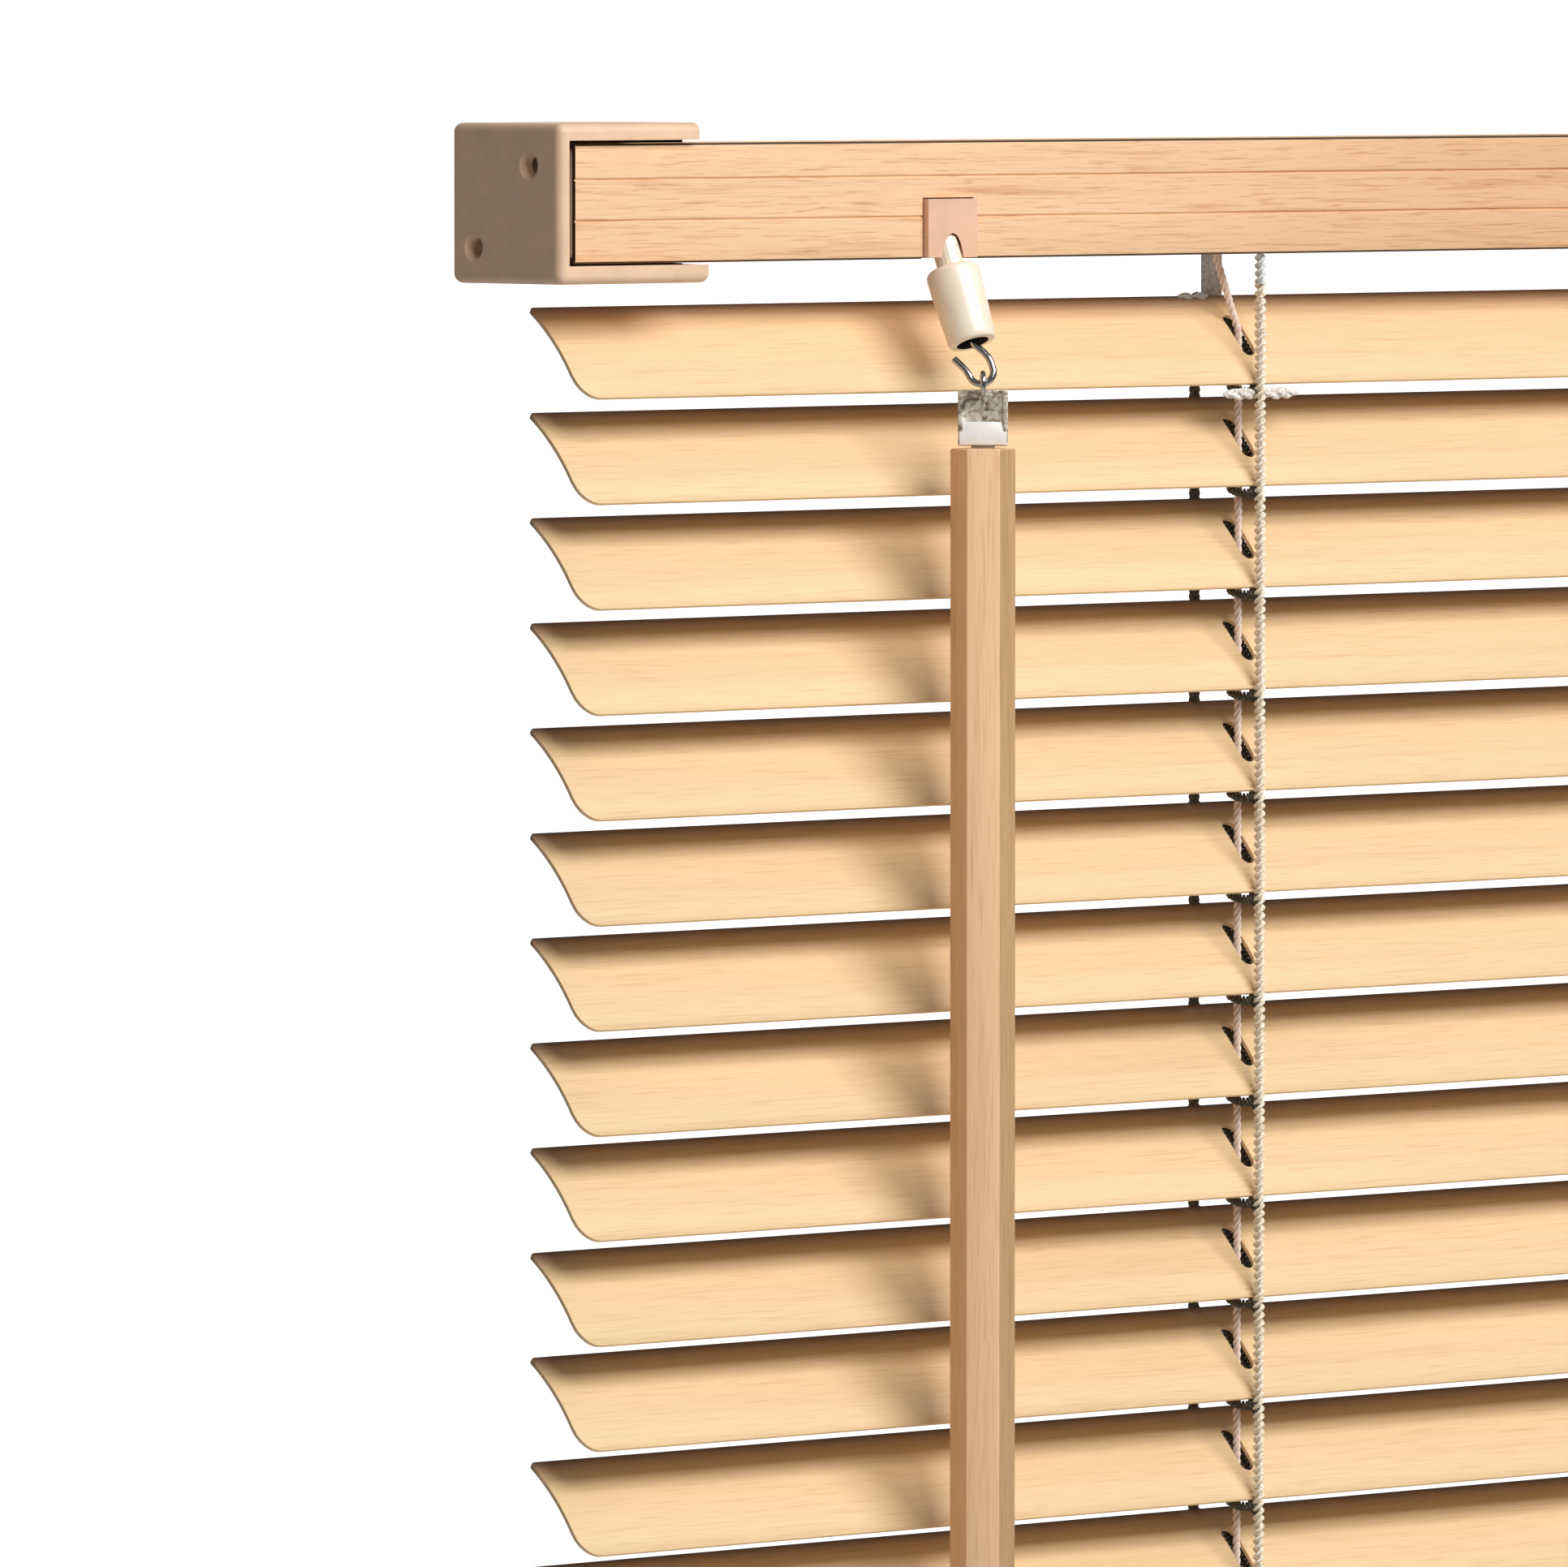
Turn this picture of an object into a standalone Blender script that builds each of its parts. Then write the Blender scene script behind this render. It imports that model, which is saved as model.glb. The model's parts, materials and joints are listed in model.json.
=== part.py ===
"""Venetian blind with wood-effect slats, hung between two box brackets, tilted by a wand.

Metres, +Z up. X runs along the blind, -Y faces the room. The origin is the middle of the blind's
width, on the plane that the brackets' tops are screwed to, above the headrail's centre line.
"""

import math

import bmesh
import bpy
from mathutils import Matrix, Vector

MM = 0.001
GAP = 0.3 * MM

# Slats
SLAT_COUNT = 15
SLAT_LENGTH = 900 * MM
SLAT_WIDTH = 24.7 * MM
SLAT_CROWN = 1.6 * MM
SLAT_THICKNESS = 0.85 * MM
SLAT_CORNER = 5.5 * MM
SLAT_BACK_CORNER = 1.2 * MM
SLAT_PITCH = 22 * MM
SLAT_TILT = math.radians(48)
SLOT_LENGTH = 11.6 * MM
SLOT_WIDTH = 4.0 * MM

# Headrail, a channel with inward lips, open at the top
BRACKET_RISE = 4.3 * MM
RAIL_LENGTH = 909.6 * MM
RAIL_SIZE = 25 * MM
RAIL_WALL = 1.0 * MM
RAIL_LIP = 3.5 * MM
RAIL_TOP = -BRACKET_RISE
RAIL_BOTTOM = RAIL_TOP - RAIL_SIZE
RAIL_HALF = RAIL_SIZE / 2
FIRST_SLAT = RAIL_BOTTOM - 19.2 * MM
LAST_SLAT = FIRST_SLAT - (SLAT_COUNT - 1) * SLAT_PITCH

# Brackets
BRACKET_WALL = 3.4 * MM
BRACKET_END_WALL = 2.7 * MM
BRACKET_FRONT = -14.5 * MM
BRACKET_BACK = 20.3 * MM
BRACKET_BOTTOM = -33.5 * MM
BRACKET_OUTER = SLAT_LENGTH / 2 + 10.8 * MM
BRACKET_FLANGE = 42.4 * MM
BRACKET_TOP_SHORT = 3.5 * MM
BRACKET_SOFTNESS = 2.0 * MM
SCREW_RADIUS = 1.8 * MM
COUNTERSINK = 2.7 * MM

# Tilt rod and ladders
ROD_RADIUS = 2.0 * MM
ROD_PAST_TILTER = 13 * MM
ROD_PAST_DRUM = 45 * MM
ROD_Z = RAIL_TOP - 12.5 * MM
LADDER_X = SLAT_LENGTH / 2 - 194.8 * MM
LADDER_SKEW = 0.9 * MM
CORD_X = LADDER_X - 1.0 * MM
CORD_EXIT_X = LADDER_X + 5.0 * MM
CORD_Y = -0.8 * MM
CORD_RADIUS = 0.75 * MM
STRING_Y = 10.3 * MM
STRING_RADIUS = 0.8 * MM
RUNG_RADIUS = 0.5 * MM
STRING_TOP = ROD_Z - 4.5 * MM
DRUM_RADIUS = 8.3 * MM
DRUM_WIDTH = 6 * MM
CRADLE_WIDTH = 24 * MM
EXIT_HOLE = 17 * MM

# Tilter: a worm on a shaft that leans out of the headrail's front, turned by the wand
TILTER_X = 100.3 * MM - SLAT_LENGTH / 2
TILTER_WIDTH = 14.0 * MM
TILTER_LEAN = math.radians(23.3)
TILTER_PROUD = 1.5 * MM
HOOK_POINT = Vector((TILTER_X, -23.4 * MM, RAIL_TOP - 50.2 * MM))
WORM_AXIS = Vector((0, math.sin(TILTER_LEAN), math.cos(TILTER_LEAN)))
WORM_RADIUS = 2.0 * MM
NECK_RADIUS = 2.9 * MM
WORM_RIDGES = 5
GEAR_TEETH = 16
GEAR_RADIUS = 4.2 * MM
GEAR_TOOTH = 0.6 * MM
GEAR_WIDTH = 7 * MM
SLEEVE_TOP_RADIUS = 5.8 * MM
SLEEVE_BOTTOM_RADIUS = 5.1 * MM
SLEEVE_FROM, SLEEVE_TO = 8.1 * MM, 25.1 * MM
WORM_END, THREAD_END, NECK_END, STEM_END = 44.5 * MM, 33.0 * MM, 24.5 * MM, 14.5 * MM
HOOK_WIRE = 0.75 * MM
HOOK_SLACK = 1.15 * MM
HOOK_BEND = 2.6 * MM
HOOK_FACING = math.radians(42)

# Wand
WAND_RADIUS = 6.95 * MM
WAND_TOP = RAIL_TOP - 65 * MM
WAND_LENGTH = 292 * MM
WAND_FACET_TURN = math.atan2(-0.743, -0.669)
CLIP_WIDTH = 10.6 * MM
CLIP_THICKNESS = 1.4 * MM
CLIP_TOP = -2.4 * MM
CLIP_TANG = 8 * MM
CLIP_TANG_HALF = 2.5 * MM
RING_RADIUS = 2.3 * MM
RING_WIRE = 0.6 * MM
TIP_LENGTH = 10 * MM

# Cord lock, near the right-hand end
LOCK_X = SLAT_LENGTH / 2 - 110 * MM
LOCK_LENGTH = 34 * MM
ROLLER_RADIUS = 2.4 * MM

# Bottom rail
BOTTOM_GAP = 24 * MM
BOTTOM_Z = LAST_SLAT - BOTTOM_GAP
BOTTOM_WIDTH = 24 * MM
BOTTOM_HEIGHT = 7 * MM
BOTTOM_WALL = 1.4 * MM

MATERIALS = {
    "beech_foil": ((0.86, 0.62, 0.40), 0.5, 0.0),
    "beech_plastic": ((0.74, 0.52, 0.36), 0.45, 0.0),
    "tan_plastic": ((0.55, 0.38, 0.24), 0.45, 0.0),
    "white_nylon": ((0.85, 0.84, 0.80), 0.5, 0.0),
    "steel": ((0.62, 0.62, 0.62), 0.3, 1.0),
    "cord": ((0.72, 0.58, 0.44), 0.8, 0.0),
}


def clear_scene():
    for item in list(bpy.data.objects):
        bpy.data.objects.remove(item, do_unlink=True)


def new_collection(name):
    collection = bpy.data.collections.new(name)
    bpy.context.scene.collection.children.link(collection)
    return collection


def material(name):
    found = bpy.data.materials.get(name)
    if found:
        return found
    colour, roughness, metallic = MATERIALS[name]
    made = bpy.data.materials.new(name)
    made.use_nodes = True
    shader = made.node_tree.nodes["Principled BSDF"]
    shader.inputs["Base Color"].default_value = (*colour, 1)
    shader.inputs["Roughness"].default_value = roughness
    shader.inputs["Metallic"].default_value = metallic
    return made


clear_scene()
PARTS = new_collection("venetian_blind")
CUTTERS = new_collection("venetian_blind_cutters")


def add_mesh(name, mesh, look=None, place=None):
    """An object for a mesh: a part if it has a look, or else a cutter."""
    item = bpy.data.objects.new(name, mesh)
    if place is not None:
        item.matrix_world = place
    if look:
        if not mesh.materials:
            mesh.materials.append(material(look))
        PARTS.objects.link(item)
    else:
        item.display_type = "WIRE"
        item.hide_render = True
        CUTTERS.objects.link(item)
    return item


def mesh_from(name, fill):
    """A mesh made by a function that fills a bmesh."""
    made = bmesh.new()
    fill(made)
    bmesh.ops.remove_doubles(made, verts=made.verts, dist=1e-6)
    mesh = bpy.data.meshes.new(name)
    made.to_mesh(mesh)
    made.free()
    return mesh


def curve_mesh(name, curve, weld=1e-6):
    """A curve's evaluated mesh, with its caps welded on. The curve is removed."""
    source = bpy.data.objects.new(name + "_curve", curve)
    bpy.context.scene.collection.objects.link(source)
    graph = bpy.context.evaluated_depsgraph_get()
    mesh = bpy.data.meshes.new_from_object(source.evaluated_get(graph))
    bpy.data.objects.remove(source, do_unlink=True)
    bpy.data.curves.remove(curve)
    mesh.name = name
    made = bmesh.new()
    made.from_mesh(mesh)
    bmesh.ops.remove_doubles(made, verts=made.verts, dist=weld)
    bmesh.ops.recalc_face_normals(made, faces=made.faces)
    made.to_mesh(mesh)
    made.free()
    return mesh


def plate_mesh(name, loops, thickness):
    """A flat outline, with any holes, drawn in XY and as thick as asked along Z."""
    curve = bpy.data.curves.new(name, "CURVE")
    curve.dimensions = "2D"
    curve.fill_mode = "BOTH"
    curve.extrude = thickness / 2
    for points in loops:
        spline = curve.splines.new("POLY")
        spline.points.add(len(points) - 1)
        for point, (x, y) in zip(spline.points, points):
            point.co = (x, y, 0, 1)
        spline.use_cyclic_u = True
    return curve_mesh(name, curve)


def wire_mesh(name, points, radius, resolution=2):
    """A round wire or cord through points, with flat caps."""
    curve = bpy.data.curves.new(name, "CURVE")
    curve.dimensions = "3D"
    curve.bevel_depth = radius
    curve.bevel_resolution = resolution
    curve.use_fill_caps = True
    spline = curve.splines.new("POLY")
    spline.points.add(len(points) - 1)
    for point, place in zip(spline.points, points):
        point.co = (*place, 1)
    return curve_mesh(name, curve)


def box_mesh(name, low, high):
    size = Vector(high) - Vector(low)
    middle = (Vector(high) + Vector(low)) / 2

    def fill(made):
        matrix = Matrix.Translation(middle) @ Matrix.Diagonal((*size, 1))
        bmesh.ops.create_cube(made, size=1, matrix=matrix)

    return mesh_from(name, fill)


def round_mesh(name, radius, length, segments=24, top_radius=None):
    """A cylinder or cone along Z, centred."""

    def fill(made):
        upper = radius if top_radius is None else top_radius
        bmesh.ops.create_cone(made, cap_ends=True, segments=segments, radius1=radius,
                              radius2=upper, depth=length)

    return mesh_from(name, fill)


def ring_mesh(name, radius, wire, segments=24, sides=8):
    """A round wire bent into a closed ring about Z."""
    verts, faces = [], []
    for i in range(segments):
        turn = 2 * math.pi * (i + 0.5) / segments
        for j in range(sides):
            side = 2 * math.pi * (j + 0.5) / sides
            reach = radius + wire * math.cos(side)
            verts.append((reach * math.cos(turn), reach * math.sin(turn), wire * math.sin(side)))
            faces.append((i * sides + j, (i + 1) % segments * sides + j,
                          (i + 1) % segments * sides + (j + 1) % sides, i * sides + (j + 1) % sides))
    mesh = bpy.data.meshes.new(name)
    mesh.from_pydata(verts, [], faces)
    return mesh


def turned(name, profile, look, place, segments=24):
    """A turned piece: (radius, height) pairs from the top of the outside to the bottom."""
    mesh = bpy.data.meshes.new(name)
    points = [(radius, 0, height) for radius, height in profile]
    closed = points[0][0] > 0 and points[-1][0] > 0
    edges = [(i, i + 1) for i in range(len(points) - 1)]
    if closed:
        edges.append((len(points) - 1, 0))
    mesh.from_pydata(points, edges, [])
    item = add_mesh(name, mesh, look, place)
    screw = item.modifiers.new("turn", "SCREW")
    screw.steps = screw.render_steps = segments
    screw.use_merge_vertices = True
    screw.merge_threshold = 1e-6
    screw.use_smooth_shade = True
    return item


def cut(item, *cutters):
    for cutter in cutters:
        boolean = item.modifiers.new("cut", "BOOLEAN")
        boolean.operation = "DIFFERENCE"
        boolean.solver = "EXACT"
        boolean.object = cutter
    return item


def join(item, *others):
    for other in others:
        boolean = item.modifiers.new("join", "BOOLEAN")
        boolean.operation = "UNION"
        boolean.solver = "EXACT"
        boolean.object = other
    return item


def box_cutter(name, low, high):
    return add_mesh(name, box_mesh(name, low, high))


def along(direction, origin=(0, 0, 0)):
    """A placement whose Z runs along a direction."""
    turn = Vector(direction).to_track_quat("Z", "Y").to_matrix().to_4x4()
    return Matrix.Translation(origin) @ turn


ALONG_X = Matrix(((0, 0, 1), (1, 0, 0), (0, 1, 0))).to_4x4()


def extruded_x(name, loops, length, look, x=0.0, y=0.0, z=0.0):
    """An outline drawn in Y and Z, extruded along X."""
    mesh = plate_mesh(name, loops, length)
    return add_mesh(name, mesh, look, Matrix.Translation((x, y, z)) @ ALONG_X)


def arc(centre, radius, start, end, steps):
    """Points of an arc, angles in degrees."""
    angles = [math.radians(start + (end - start) * i / steps) for i in range(steps + 1)]
    return [(centre[0] + radius * math.cos(a), centre[1] + radius * math.sin(a)) for a in angles]


def rounded_box(width, height, radius, steps=3):
    """A rounded rectangle's outline, centred."""
    x, y = width / 2 - radius, height / 2 - radius
    corners = [((x, -y), -90), ((x, y), 0), ((-x, y), 90), ((-x, -y), 180)]
    return [p for centre, start in corners for p in arc(centre, radius, start, start + 90, steps)]


def slat_point(across, above):
    """(Y, Z) of a point of a tilted slat: across its width from the front, above its edges."""
    cos, sin = math.cos(SLAT_TILT), math.sin(SLAT_TILT)
    return across * cos - above * sin, across * sin + above * cos


def slat_z(number):
    return FIRST_SLAT - (number - 1) * SLAT_PITCH


def make_headrail():
    """The channel, with a window for the tilter and holes under each ladder and the cord lock."""
    half, wall, lip = RAIL_HALF, RAIL_WALL, RAIL_LIP
    top, bottom = RAIL_TOP, RAIL_BOTTOM
    outline = [
        (-half, bottom), (half, bottom), (half, top), (half - lip, top),
        (half - lip, top - wall), (half - wall, top - wall), (half - wall, bottom + wall),
        (-half + wall, bottom + wall), (-half + wall, top - wall), (-half + lip, top - wall),
        (-half + lip, top), (-half, top),
    ]
    rail = extruded_x("headrail", [outline], RAIL_LENGTH, "beech_foil")
    reach = half - wall - GAP
    floor = (bottom - 2 * wall, bottom + 2 * wall)
    window = TILTER_WIDTH / 2 + GAP
    cutters = [
        box_cutter("rail_tilter_window", (TILTER_X - window, -half - 2 * wall, bottom - 2 * wall),
                   (TILTER_X + window, -4 * MM, top - 12 * MM)),
        box_cutter("rail_lock_hole", (LOCK_X - 9 * MM, -reach, floor[0]),
                   (LOCK_X + 9 * MM, -3 * MM, floor[1])),
    ]
    for side, name in ((-1, "left"), (1, "right")):
        middle = side * (LADDER_X + 3 * MM)
        cutters.append(box_cutter(f"rail_ladder_hole_{name}",
                                  (middle - EXIT_HOLE / 2, -reach, floor[0]),
                                  (middle + EXIT_HOLE / 2, reach, floor[1])))
    return cut(rail, *cutters)


def make_bracket(name, side):
    """A box bracket, open to the room and to the rail: end wall, back wall and two flanges."""
    outer, wall, end_wall = BRACKET_OUTER, BRACKET_WALL, BRACKET_END_WALL
    low = Vector((outer - BRACKET_FLANGE, BRACKET_FRONT, BRACKET_BOTTOM))
    high = Vector((outer, BRACKET_BACK, 0))
    if side < 0:
        low.x, high.x = -high.x, -low.x
    shell = add_mesh(name, box_mesh(name, low, high), "beech_plastic")
    bevel = shell.modifiers.new("soft_edges", "BEVEL")
    bevel.width = BRACKET_SOFTNESS
    bevel.segments = 2
    inside_low, inside_high = low.copy(), high.copy()
    if side < 0:
        inside_low.x += end_wall
        inside_high.x += wall
    else:
        inside_low.x -= wall
        inside_high.x -= end_wall
    inside_low.y -= wall
    inside_high.y -= wall
    inside_low.z = RAIL_BOTTOM - 0.4 * MM
    inside_high.z = RAIL_TOP + 0.7 * MM
    inner = side * (outer - BRACKET_FLANGE)
    past, short = inner - side * wall, inner + side * BRACKET_TOP_SHORT
    cutters = [
        box_cutter(name + "_inside", inside_low, inside_high),
        box_cutter(name + "_top_end", (min(past, short), low.y - wall, inside_high.z - GAP),
                   (max(past, short), high.y + wall, wall)),
    ]
    holes = [
        ("end_high", (side * outer, -4.5 * MM, -8.8 * MM), (side, 0, 0)),
        ("end_low", (side * outer, 13 * MM, -26 * MM), (side, 0, 0)),
        ("top_front", (side * (outer - 25 * MM), -5 * MM, 0), (0, 0, 1)),
        ("top_back", (side * (outer - 12 * MM), 9 * MM, 0), (0, 0, 1)),
        ("back_high", (side * (outer - 25 * MM), BRACKET_BACK, -10 * MM), (0, 1, 0)),
        ("back_low", (side * (outer - 12 * MM), BRACKET_BACK, -23 * MM), (0, 1, 0)),
    ]
    for hole, place, out in holes:
        sink = 1.4 * MM
        profile = round_mesh(f"{name}_{hole}", SCREW_RADIUS, 12 * MM, 16)
        cutters.append(add_mesh(f"{name}_{hole}", profile, None, along(out, place)))
        cone = round_mesh(f"{name}_{hole}_sink", SCREW_RADIUS, sink * 2, 16,
                          2 * COUNTERSINK - SCREW_RADIUS)
        cutters.append(add_mesh(f"{name}_{hole}_sink", cone, None, along(out, place)))
    return cut(shell, *cutters)


def make_rail_plug(name, side):
    """A plug that closes the channel's end inside the bracket."""
    reach = RAIL_HALF - RAIL_WALL - GAP
    mid = (RAIL_TOP + RAIL_BOTTOM) / 2
    inner = RAIL_SIZE - 2 * RAIL_WALL - 2 * GAP
    thick = 8 * MM
    plug = extruded_x(name, [rounded_box(2 * reach, inner, 0.8 * MM, 2)], thick, "white_nylon",
                      side * (RAIL_LENGTH / 2 - thick / 2 - GAP), 0, mid)
    x = side * (RAIL_LENGTH / 2 - thick)
    hollow = box_cutter(name + "_hollow", (x - 5 * MM, -reach + 1.5 * MM, RAIL_BOTTOM + 3 * MM),
                        (x + 5 * MM, reach - 1.5 * MM, RAIL_TOP + 3 * MM))
    return cut(plug, hollow)


def make_tilt_rod():
    """The steel rod that turns both drums."""
    start, end = TILTER_X - ROD_PAST_TILTER, LADDER_X + ROD_PAST_DRUM
    rod = round_mesh("tilt_rod", ROD_RADIUS, end - start, 16)
    return add_mesh("tilt_rod", rod, "steel", along((1, 0, 0), ((start + end) / 2, 0, ROD_Z)))


def make_drum(name, side):
    """A flanged drum that winds the ladder's two strings."""
    half = DRUM_WIDTH / 2
    bore, core = ROD_RADIUS + GAP, DRUM_RADIUS - 1.2 * MM
    profile = [(DRUM_RADIUS, half), (DRUM_RADIUS, half - 1 * MM), (core, half - 1.4 * MM),
               (core, -half + 1.4 * MM), (DRUM_RADIUS, -half + 1 * MM), (DRUM_RADIUS, -half),
               (bore, -half), (bore, half)]
    place = along((1, 0, 0), (side * LADDER_X, 0, ROD_Z))
    return turned(name, profile, "white_nylon", place)


def make_cradle(name, side):
    """The saddle under a drum: it carries the rod and lets the strings and lift cord through."""
    middle = side * (LADDER_X + 3 * MM)
    reach = RAIL_HALF - RAIL_WALL - GAP
    floor = RAIL_BOTTOM + RAIL_WALL + GAP
    low = (middle - CRADLE_WIDTH / 2, -reach, floor)
    high = (middle + CRADLE_WIDTH / 2, reach, ROD_Z + 3 * MM)
    cradle = add_mesh(name, box_mesh(name, low, high), "white_nylon")
    pocket = DRUM_WIDTH / 2 + 0.6 * MM
    drum_x = side * LADDER_X
    rod_room = ROD_RADIUS + GAP
    deep = 10 * MM
    cutters = [
        box_cutter(name + "_pocket", (drum_x - pocket, -reach - deep, floor + 1.5 * MM),
                   (drum_x + pocket, reach + deep, ROD_Z + deep)),
        box_cutter(name + "_rod_notch", (middle - deep * 2, -rod_room, ROD_Z - rod_room),
                   (middle + deep * 2, rod_room, ROD_Z + deep)),
    ]
    for where, y in (("front", -STRING_Y), ("back", STRING_Y)):
        x = drum_x + (side * LADDER_SKEW if where == "back" else 0)
        cutters.append(box_cutter(f"{name}_string_{where}",
                                  (x - 1.6 * MM, y - 2 * MM, floor - deep),
                                  (x + 1.6 * MM, y + 2 * MM, ROD_Z + deep)))
    start, end = sorted((side * (CORD_EXIT_X + 1.5 * MM), side * (CORD_X - 1.5 * MM)))
    cutters.append(box_cutter(name + "_cord_slot", (start, CORD_Y - 1.4 * MM, floor - deep),
                              (end, CORD_Y + 1.4 * MM, ROD_Z + deep)))
    return cut(cradle, *cutters)


def make_tilter_gear():
    """The worm wheel on the rod."""
    outline = []
    for tooth in range(GEAR_TEETH):
        for share, radius in ((0.0, GEAR_RADIUS - GEAR_TOOTH), (0.3, GEAR_RADIUS - GEAR_TOOTH),
                              (0.45, GEAR_RADIUS), (0.85, GEAR_RADIUS)):
            angle = 2 * math.pi * (tooth + share) / GEAR_TEETH
            outline.append((radius * math.cos(angle), radius * math.sin(angle)))
    bore = arc((0, 0), ROD_RADIUS + GAP, 0, 345, 23)
    return extruded_x("tilter_gear", [outline, bore], GEAR_WIDTH, "white_nylon", TILTER_X, 0, ROD_Z)


def on_worm(distance):
    """A point of the worm's axis, counted up from the hook's bend."""
    return HOOK_POINT + WORM_AXIS * distance


def make_tilter_housing():
    """The gear case: a body in the channel and a nose that fills the window in its front."""
    reach = RAIL_HALF - RAIL_WALL - GAP
    floor = RAIL_BOTTOM + RAIL_WALL + GAP
    half = TILTER_WIDTH / 2
    front = -RAIL_HALF - TILTER_PROUD
    nose_top = RAIL_TOP - 12.3 * MM
    body = add_mesh("tilter_housing", box_mesh("tilter_housing",
                    (TILTER_X - 15 * MM, -reach, floor),
                    (TILTER_X + 15 * MM, reach, RAIL_TOP - RAIL_WALL - 2 * MM)), "beech_plastic")
    nose = box_cutter("tilter_nose", (TILTER_X - half, front, RAIL_BOTTOM + GAP),
                      (TILTER_X + half, -5 * MM, nose_top))
    join(body, nose)
    worm_room = add_mesh("tilter_worm_bore", round_mesh("tilter_worm_bore",
                         WORM_RADIUS + GAP, 60 * MM, 20), None, along(WORM_AXIS, on_worm(37.5 * MM)))
    neck_room = add_mesh("tilter_neck_bore", round_mesh("tilter_neck_bore",
                         NECK_RADIUS + 0.6 * MM, 14 * MM, 20), None,
                         along(WORM_AXIS, on_worm(26 * MM)))
    gear_room = add_mesh("tilter_gear_room", round_mesh("tilter_gear_room",
                         GEAR_RADIUS + 0.5 * MM, GEAR_WIDTH + 1 * MM, 24), None,
                         along((1, 0, 0), (TILTER_X, 0, ROD_Z)))
    rod_room = add_mesh("tilter_rod_bore", round_mesh("tilter_rod_bore",
                        ROD_RADIUS + GAP, 60 * MM, 16), None,
                        along((1, 0, 0), (TILTER_X, 0, ROD_Z)))
    return cut(body, worm_room, neck_room, gear_room, rod_room)


def make_worm():
    """The worm, its neck and the stem inside the sleeve, in one turned piece."""
    profile = [(0, WORM_END), (WORM_RADIUS - 0.5 * MM, WORM_END)]
    step = (WORM_END - THREAD_END - 1.5 * MM) / WORM_RIDGES
    for ridge in range(WORM_RIDGES):
        start = WORM_END - 1 * MM - ridge * step
        profile += [(WORM_RADIUS - 0.6 * MM, start), (WORM_RADIUS, start - 0.3 * step),
                    (WORM_RADIUS, start - 0.6 * step), (WORM_RADIUS - 0.6 * MM, start - 0.9 * step)]
    bore_end = STEM_END + 7 * MM
    profile += [(WORM_RADIUS - 0.2 * MM, THREAD_END), (NECK_RADIUS, THREAD_END - 1.5 * MM),
                (NECK_RADIUS, NECK_END), (NECK_RADIUS - 0.5 * MM, NECK_END - 1 * MM),
                (NECK_RADIUS - 0.5 * MM, STEM_END), (HOOK_WIRE + GAP, STEM_END),
                (HOOK_WIRE + GAP, bore_end), (0, bore_end)]
    return turned("tilter_worm", profile, "beech_plastic", along(WORM_AXIS, HOOK_POINT), 20)


def make_sleeve():
    """The tapered sleeve that hides the hook's end."""
    bore = NECK_RADIUS + GAP
    profile = [(SLEEVE_TOP_RADIUS - 1.2 * MM, SLEEVE_TO), (SLEEVE_TOP_RADIUS, SLEEVE_TO - 1.2 * MM),
               (SLEEVE_TOP_RADIUS, SLEEVE_TO - 3 * MM),
               (SLEEVE_BOTTOM_RADIUS, SLEEVE_FROM + 1.5 * MM),
               (SLEEVE_BOTTOM_RADIUS - 0.5 * MM, SLEEVE_FROM),
               (2.2 * MM, SLEEVE_FROM), (2.2 * MM, SLEEVE_FROM + 4 * MM),
               (bore, SLEEVE_FROM + 5.5 * MM), (bore, SLEEVE_TO)]
    return turned("wand_sleeve", profile, "beech_plastic", along(WORM_AXIS, HOOK_POINT), 28)


def make_hook():
    """The open wire hook, in a plane that holds the worm's axis and faces half left."""
    low = HOOK_BEND - HOOK_SLACK
    points = [(0, STEM_END + 5 * MM), (0, SLEEVE_FROM + 0.6 * MM), (0.5 * MM, SLEEVE_FROM - 1 * MM),
              (HOOK_BEND, low + 2.6 * MM)]
    points += [(HOOK_BEND * math.cos(a), low + HOOK_BEND * math.sin(a))
               for a in (math.radians(-i * 180 / 9) for i in range(10))]
    points += [(-HOOK_BEND - 0.4 * MM, low + 1.4 * MM), (-HOOK_BEND - 2.2 * MM, low + 4.4 * MM)]
    line = [(across * math.cos(HOOK_FACING), -across * math.sin(HOOK_FACING), up)
            for across, up in points]
    mesh = wire_mesh("wand_hook", line, HOOK_WIRE)
    return add_mesh("wand_hook", mesh, "steel", along_worm())


def along_worm():
    """The worm's placement, with its Y in the plane that the worm leans in."""
    return Matrix.Translation(HOOK_POINT) @ Matrix.Rotation(-TILTER_LEAN, 4, "X")


def make_clip():
    """The wand's metal clip: an upright plate with a ring across its top for the hook."""
    half = CLIP_WIDTH / 2
    base = WAND_TOP - HOOK_POINT.z + 0.5 * MM
    foot = base + 0.4 * MM
    outline = [(-half + 1 * MM, CLIP_TOP), (-half, CLIP_TOP - 1 * MM), (-half, foot),
               (-CLIP_TANG_HALF, base), (-CLIP_TANG_HALF, base - CLIP_TANG),
               (CLIP_TANG_HALF, base - CLIP_TANG), (CLIP_TANG_HALF, base), (half, foot),
               (half, CLIP_TOP - 1 * MM), (half - 1 * MM, CLIP_TOP)]
    upright = Matrix.Rotation(math.radians(90), 4, "X")
    place = Matrix.Translation(HOOK_POINT) @ Matrix.Rotation(-HOOK_FACING, 4, "Z") @ upright
    clip = add_mesh("wand_clip", plate_mesh("wand_clip", [outline], CLIP_THICKNESS), "steel", place)
    across = Matrix.Translation((0, HOOK_SLACK - RING_RADIUS, 0)) @ Matrix.Rotation(
        math.radians(90), 4, "Y")
    hoop = add_mesh("wand_ring", ring_mesh("wand_ring", RING_RADIUS, RING_WIRE), None,
                    place @ across)
    return join(clip, hoop)


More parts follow.
